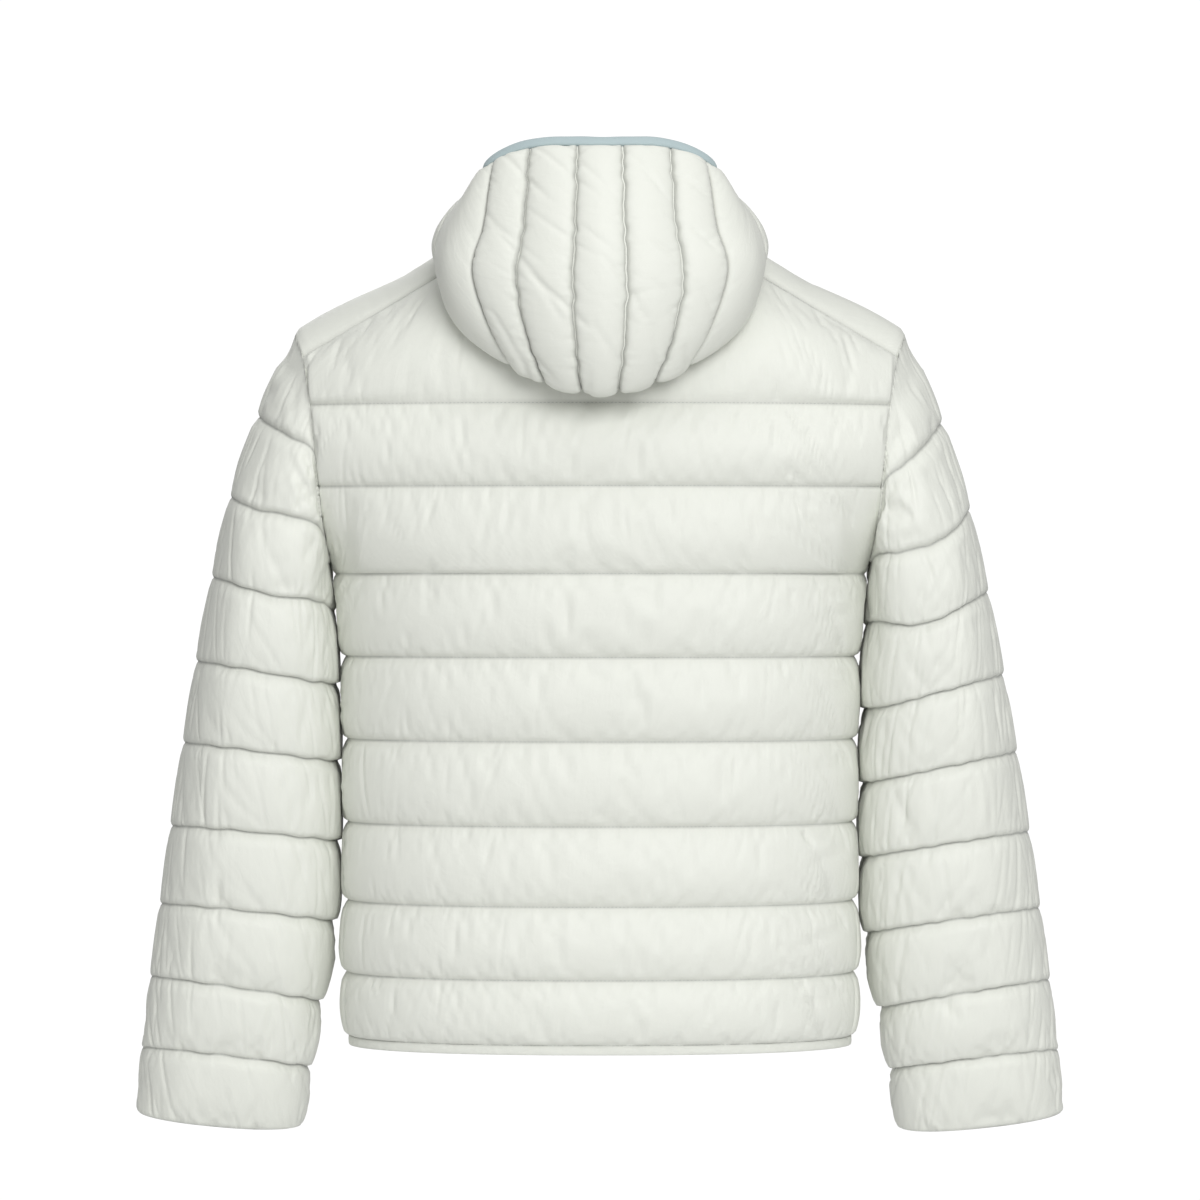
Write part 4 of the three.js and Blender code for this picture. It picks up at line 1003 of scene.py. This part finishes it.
GATHERS = {"left": (1, 6, 8, 8, 8, 8, 8, 8, 7, 5), "right": (1, 9, 12, 12, 12, 12, 9, 8, 7, 5)}
sleeves = {}
for word, side, seed in (("left", 1, 31), ("right", -1, 32)):
    sleeves[word] = quilted(f"sleeve_{word}_quilt", sleeve_of(side), list(range(SLEEVE_END + 1)),
                            (0, 2 * math.pi, 84), -side, 6.5, seed, rows=(8, 20), fine_columns=320,
                            closed=True, share=sleeve_room(side), least=first_level(side), press=-1,
                            extra=0.03, sag=1.25, creases=sleeve_creases(GATHERS[word]), waver=0.45,
                            dip=1.3, hang=0.3, painted_seam_shade=0.4)
    panels["sleeve_" + word] = sew_mesh(sleeves[word], nylon)

# %% [markdown]
# ## The hood
# The lowered hood folds behind the neck into an upright pouch. Its seams run from the neck
# to the rim, so here the level counts round the neck and the cloth runs up the hood.


# %% Hood panels
def hood_across(side):
    return lambda stage, place: hood_sheet(place, stage) * np.array((side, 1, 1))


def hood_room(stage, place, points):
    size = np.abs(place)
    folded = ease(stage, 1.5, 3.2)
    standing = ease(size, 2.4, 3.2) * np.minimum(stage, 1)
    upright = 1 - 0.6 * ease(size, 2.1, 2.7) * ease(stage, 2, 4)
    return np.maximum(folded, standing) * upright


def channel_creases(slope, count, deep):
    """Diagonal creases across the channels: along the cloth they rise, and they run sideways."""

    def found_for(rng, run, drop, per_band):
        found = []
        for band in range((len(run) - 1) // per_band):
            rows = slice(band * per_band, (band + 1) * per_band + 1)
            length = run[rows].max()
            low, high = drop[rows].min(), drop[rows].max()
            for place in np.linspace(0.22, 0.97, count) * length + rng.normal(0, 4, count):
                start = rng.uniform(0, 0.35)
                end = start + rng.uniform(0.5, 0.8)
                rise = slope * (high - low) * rng.uniform(0.5, 1.3)
                found.append(((place, lerp(low, high, start)), (place + rise, lerp(low, high, end)),
                              deep * rng.uniform(0.5, 1.2), rng.uniform(1.6, 2.8)))
        return found
    return found_for


hood = {"centre": quilted("hood_centre_quilt", hood_across(1), [-1, -0.6, -0.2, 0.2, 0.6, 1], (0, RIM_STAGE, 60),
                          1, 7, 41, rows=(8, 18), fine_columns=230, share=hood_room, dip=3.6, waver=0.7, painted_seam_shade=0.75,
                          extra=0.0, folds=(TINY, RARE), creases=channel_creases(0.8, 6, 1.5))}
panels["hood_centre"] = sew_mesh(hood["centre"], nylon)
for word, side, seed in (("left", 1, 42), ("right", -1, 43)):
    hood[word] = quilted(f"hood_side_{word}_quilt", hood_across(side), [1, 2.3, 3.5, 5], (0, RIM_STAGE, 50),
                         side, 5.5, seed, rows=(14, 30), fine_columns=150, share=hood_room, dip=1.2,
                         waver=0.6, extra=0.0, folds=(TINY,), painted_seam_shade=0.35, creases=channel_creases(0.4, 3, 0.6))
    panels["hood_side_" + word] = sew_mesh(hood[word], nylon)

# %% [markdown]
# ## The elastic ribbon round the hood
# The rim is bound with a flat elastic ribbon, folded over the edge. Its ribs are fine, and it
# is drawn in a little, so it wavers where the channels below it push.

# %% Elastic ribbon
RIBBON_TALL, RIBBON_SWELL, SEAM_GAP = 9, 1.5, 0.3
RIBBON_PARTS = np.linspace(0, 1, 9)


def ring_mesh(name, rings, material, node=None, body="jacket"):
    """Closes rings of points, one ring for each place along a band, and caps both ends."""
    count, around = rings.shape[:2]
    ids = np.arange(count * around).reshape(count, around)
    faces = [[ids[i, j], ids[i, (j + 1) % around], ids[i + 1, (j + 1) % around], ids[i + 1, j]]
             for i in range(count - 1) for j in range(around)]
    faces += [ids[0][::-1].tolist(), ids[-1].tolist()]
    band = mesh_object(name, rings.reshape(-1, 3), np.array(faces, object).tolist())
    along = np.append(0, np.cumsum(np.linalg.norm(np.diff(rings[:, 0], axis=0), axis=1)))
    across = np.append(0, np.cumsum(np.linalg.norm(np.diff(rings[0], axis=0), axis=1)))
    uv = np.stack(np.broadcast_arrays(along[:, None], across[None]), -1).reshape(-1, 2) * MM
    layer = band.data.uv_layers.new(name="cloth")
    loops = np.empty(len(band.data.loops), int)
    band.data.loops.foreach_get("vertex_index", loops)
    layer.data.foreach_set("uv", uv[loops].ravel())
    band.data.materials.append(material)
    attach(band, body)
    if node:
        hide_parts(node)
    return band, float(along[-1])


def ribbon_rings():
    place = np.linspace(-5, 5, 641)
    size, turn = np.abs(place), np.where(place < 0, -1, 1)[:, None]
    rim = hood_sheet(size, RIM_STAGE)
    up = unit(rim - hood_sheet(size, RIM_STAGE - 0.15))
    beside = hood_sheet(size + 0.01, RIM_STAGE) - hood_sheet(size - 0.01, RIM_STAGE)
    wall = unit(np.cross(beside, up))
    wall *= np.sign((wall * (rim - rim.mean(0) * (0, 1, 1))).sum(-1, keepdims=True))
    run = np.append(0, np.cumsum(np.linalg.norm(np.diff(rim, axis=0), axis=1)))
    rng = np.random.default_rng(51)
    wander = 0.35 * waves(run, rng, 18, 60)
    ribs = 0.12 * np.sin(run * 2 * math.pi / 2.6)
    rings = []
    for outward, parts in ((1, RIBBON_PARTS), (-1, RIBBON_PARTS[::-1])):
        for part in parts:
            puff = math.sqrt(max(0, 1 - (2 * part - 1) ** 2))
            swell = (RIBBON_SWELL * puff + ribs * puff)[:, None]
            point = rim + up * (SEAM_GAP + RIBBON_TALL * part + wander * part)[:, None]
            point = point + wall * (swell if outward > 0 else -WALL - swell)
            rings.append(point * np.concatenate([turn, np.ones((len(turn), 2))], 1))
    return np.stack(rings, 1)


ribbon, ribbon_long = ring_mesh("hood_ribbon", ribbon_rings(), elastic, "hood_binding")
print("ribbon is", round(ribbon_long), "mm long")

# %% [markdown]
# ## The front zip
# Two woven tapes run from the hem to the top of the collar and carry a fine coil whose
# turns lock from side to side. The photograph doesn't show the front, so the zip is plain.

# %% Zip tapes and coil
TAPE_WIDE, TAPE_THICK, HALF_GAP = 6.2, 1.4, 0.15
levels = np.arange(HEM_LEVEL, -0.001, -0.05)
stages = np.arange(0.05, RIM_STAGE + 0.001, 0.05)
zip_line = np.concatenate([front_sheet(np.zeros(len(levels)), levels),
                           hood_sheet(np.full(len(stages), float(FRONT_PLACE)), stages)])
zip_line[:, 0] = 0
TURN_STEP, TURN_WIDE, TURN_RADIUS = 2.0, 2.3, 0.62
slider_low, slider_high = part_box("zip_slider")


def evenly(line, step):
    run = np.append(0, np.cumsum(np.linalg.norm(np.diff(line, axis=0), axis=1)))
    places = np.arange(step / 2, run[-1], step)
    return np.stack([np.interp(places, run, line[:, i]) for i in range(3)], 1)


def coil_turn(middle, side, up):
    """One flat turn of the coil, as a bent six-sided rod that hooks over the middle line."""
    bend = [(TURN_WIDE, 0, 0), (0.9, -0.25, 0), (-0.35, -0.25, 0.12), (-0.55, 0.2, 0.2)]
    path = [middle + np.array((side * x, y - TURN_RADIUS, 0)) + up * (z * TURN_STEP) for x, y, z in bend]
    rings = []
    for point in path:
        ring = [point + np.array((0, math.cos(a), 0)) * TURN_RADIUS + up * math.sin(a) * TURN_RADIUS
                for a in np.arange(6) * math.pi / 3]
        rings.append(ring)
    return np.array(rings)


for word, side in (("left", 1), ("right", -1)):
    edges = [(HALF_GAP, 0), (HALF_GAP, TAPE_THICK), (2, TAPE_THICK + 0.1), (4, TAPE_THICK + 0.1),
             (TAPE_WIDE, TAPE_THICK), (TAPE_WIDE, 0), (4, -0.1), (2, -0.1)]
    rings = np.stack([zip_line + (side * x, y, 0) for x, y in edges], 1)
    tape_piece, tape_long = ring_mesh("zip_tape_" + word + "_woven", rings, tape_cloth, "zip_tape_" + word)
    turns = evenly(zip_line, TURN_STEP)
    up = unit(np.gradient(turns, axis=0))
    points, faces = [], []
    for index, (middle, rise) in enumerate(zip(turns, up)):
        if slider_low[2] - 0.002 < middle[2] * MM < slider_high[2] + 0.002:
            continue
        rings = coil_turn(middle + rise * (TURN_STEP / 2 if side > 0 else 0), side, rise)
        first = len(points)
        points += rings.reshape(-1, 3).tolist()
        for i in range(len(rings) - 1):
            faces += [[first + i * 6 + j, first + i * 6 + (j + 1) % 6, first + i * 6 + 6 + (j + 1) % 6,
                       first + i * 6 + 6 + j] for j in range(6)]
        faces += [[first + j for j in range(5, -1, -1)], [first + 18 + j for j in range(6)]]
    coil = mesh_object("zip_coil_" + word, np.array(points), faces)
    coil.data.materials.append(coil_plastic)
    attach(coil, "jacket")
    print(coil.name, "has", len(points) // 24, "turns")

# %% Metal of the slider and its pull
for node in ("zip_slider", "zip_pull"):
    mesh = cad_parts[node].data
    mesh.materials.clear()
    mesh.materials.append(zip_metal)

# %% [markdown]
# ## Stitches
# A sewing machine leaves short threads with small gaps. Each stitch is a thin flat prism
# that lies in the seam's valley and follows it.

# %% Rows of stitches
STITCH_LONG, STITCH_STEP, THREAD_RADIUS = 2.4, 3.3, 0.22


def stitch_rows(made, rows):
    points, faces = [], []
    for row in rows:
        line = made["points"][row] + made["normals"][row] * 0.05
        run = np.append(0, np.cumsum(np.linalg.norm(np.diff(line, axis=0), axis=1)))
        if run[-1] < 20:
            continue
        places = np.arange(STITCH_STEP, run[-1] - STITCH_STEP, STITCH_STEP)
        ends = [np.stack([np.interp(places + step, run, line[:, i]) for i in range(3)], 1)
                for step in (-STITCH_LONG / 2, 0, STITCH_LONG / 2)]
        out = np.stack([np.interp(places, run, made["normals"][row][:, i]) for i in range(3)], 1)
        out = unit(out)
        way = unit(ends[2] - ends[0])
        aside = unit(np.cross(way, out))
        for size, end in ((0.45, ends[0]), (1, ends[1]), (0.45, ends[2])):
            lift = out * (0.12 if size == 1 else -0.1)
            points.append(np.stack([end + lift + (out * math.cos(a) * 0.8 + aside * math.sin(a)) * THREAD_RADIUS * size
                                    for a in np.arange(4) * math.pi / 2], 1))
        count = len(places)
        trio = np.stack(points[-3:], 1)
        del points[-3:]
        first = sum(len(p) for p in points)
        points.append(trio.reshape(-1, 3))
        base = first + np.arange(count)[:, None] * 12
        for ring in (0, 4):
            for j in range(4):
                k = (j + 1) % 4
                faces.append(np.concatenate([base + ring + j, base + ring + k, base + ring + 4 + k, base + ring + 4 + j], 1))
        faces.append(np.concatenate([base + j for j in (3, 2, 1, 0)], 1))
        faces.append(np.concatenate([base + 8 + j for j in (0, 1, 2, 3)], 1))
    return np.concatenate(points), np.concatenate(faces)


def sew_rows(made, rows):
    points, faces = stitch_rows(made, rows)
    row_of_thread = mesh_object(made["name"].replace("_quilt", "_stitches"), points, faces)
    row_of_thread.data.materials.append(thread)
    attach(row_of_thread, "jacket")
    print(row_of_thread.name, "has", len(points) // 12, "stitches")


for made in (back, *fronts.values(), *sleeves.values()):
    sew_rows(made, [seam * made["per_band"] for seam in range(1, len(made["seams"]) - 1)])
for made in hood.values():
    sew_rows(made, [seam * made["per_band"] for seam in range(1, len(made["seams"]) - 1)])

# %% [markdown]
# ## Camera, floor and light
# The photograph looks square at the back from about four metres, with its middle level
# with the chest. Nearly all its light is soft and comes from everywhere, with a little
# more from the right. A bright sky and four large soft lamps give the same.

# %% Camera
CAMERA_FAR, CAMERA_LEVEL, FRAME_WIDTH = 4.0, -0.295, 1.032
camera_data = bpy.data.cameras.new("view")
camera_data.sensor_width = 36
camera_data.lens = 36 * CAMERA_FAR / FRAME_WIDTH
camera_data.sensor_fit = "HORIZONTAL"
camera = bpy.data.objects.new("view", camera_data)
camera.location = (0, CAMERA_FAR, CAMERA_LEVEL)
camera.rotation_euler = (math.pi / 2, 0, math.pi)
bpy.context.scene.collection.objects.link(camera)
bpy.context.scene.camera = camera
print("lens", round(camera_data.lens, 1), "mm")


# %% Floor
FLOOR_Z, FLOOR_HALF = -950, 950
corners = [(x * FLOOR_HALF, y * FLOOR_HALF, FLOOR_Z) for x, y in ((-1, -1), (1, -1), (1, 1), (-1, 1))]
floor = mesh_object("floor", np.array(corners, float), np.array([(0, 1, 2, 3)]), smooth=False)
floor_paint = bpy.data.materials.new("pale_floor")
floor_paint.use_nodes = True
floor_paint.node_tree.nodes["Principled BSDF"].inputs["Base Color"].default_value = (0.93, 0.93, 0.93, 1)
floor_paint.node_tree.nodes["Principled BSDF"].inputs["Roughness"].default_value = 0.9
floor.data.materials.append(floor_paint)


# %% Light
def soft_lamp(name, place, aim, size, power):
    data = bpy.data.lights.new(name, "AREA")
    data.shape = "SQUARE"
    data.size = size
    data.energy = power
    lamp = bpy.data.objects.new(name, data)
    lamp.location = place
    lamp.rotation_euler = (Vector(aim) - Vector(place)).to_track_quat("-Z", "Y").to_euler()
    bpy.context.scene.collection.objects.link(lamp)


soft_lamp("front_window", (-1.0, 3.6, 1.2), (0, 0, -0.3), 2.2, 96)
soft_lamp("left_window", (1.7, 3.3, 0.5), (0, 0, -0.3), 2.2, 14)
soft_lamp("ceiling", (-0.3, 0.9, 3.0), (0, 0, -0.3), 2.4, 24)
soft_lamp("far_side_window", (0.7, -3.3, 1.3), (0, 0, -0.3), 2.2, 18)
world = bpy.data.worlds.new("studio")
world.use_nodes = True
sky = world.node_tree.nodes
sky["Background"].inputs["Color"].default_value = (1, 1, 1, 1)
sky["Background"].inputs["Strength"].default_value = 0.36
white = sky.new("ShaderNodeBackground")
white.inputs["Color"].default_value = (1, 1, 1, 1)
white.inputs["Strength"].default_value = 1.05
seen = sky.new("ShaderNodeLightPath")
both = sky.new("ShaderNodeMixShader")
world.node_tree.links.new(seen.outputs["Is Camera Ray"], both.inputs["Fac"])
world.node_tree.links.new(sky["Background"].outputs["Background"], both.inputs[1])
world.node_tree.links.new(white.outputs["Background"], both.inputs[2])
world.node_tree.links.new(both.outputs["Shader"], sky["World Output"].inputs["Surface"])
bpy.context.scene.world = world
bpy.context.scene.view_settings.view_transform = "Standard"
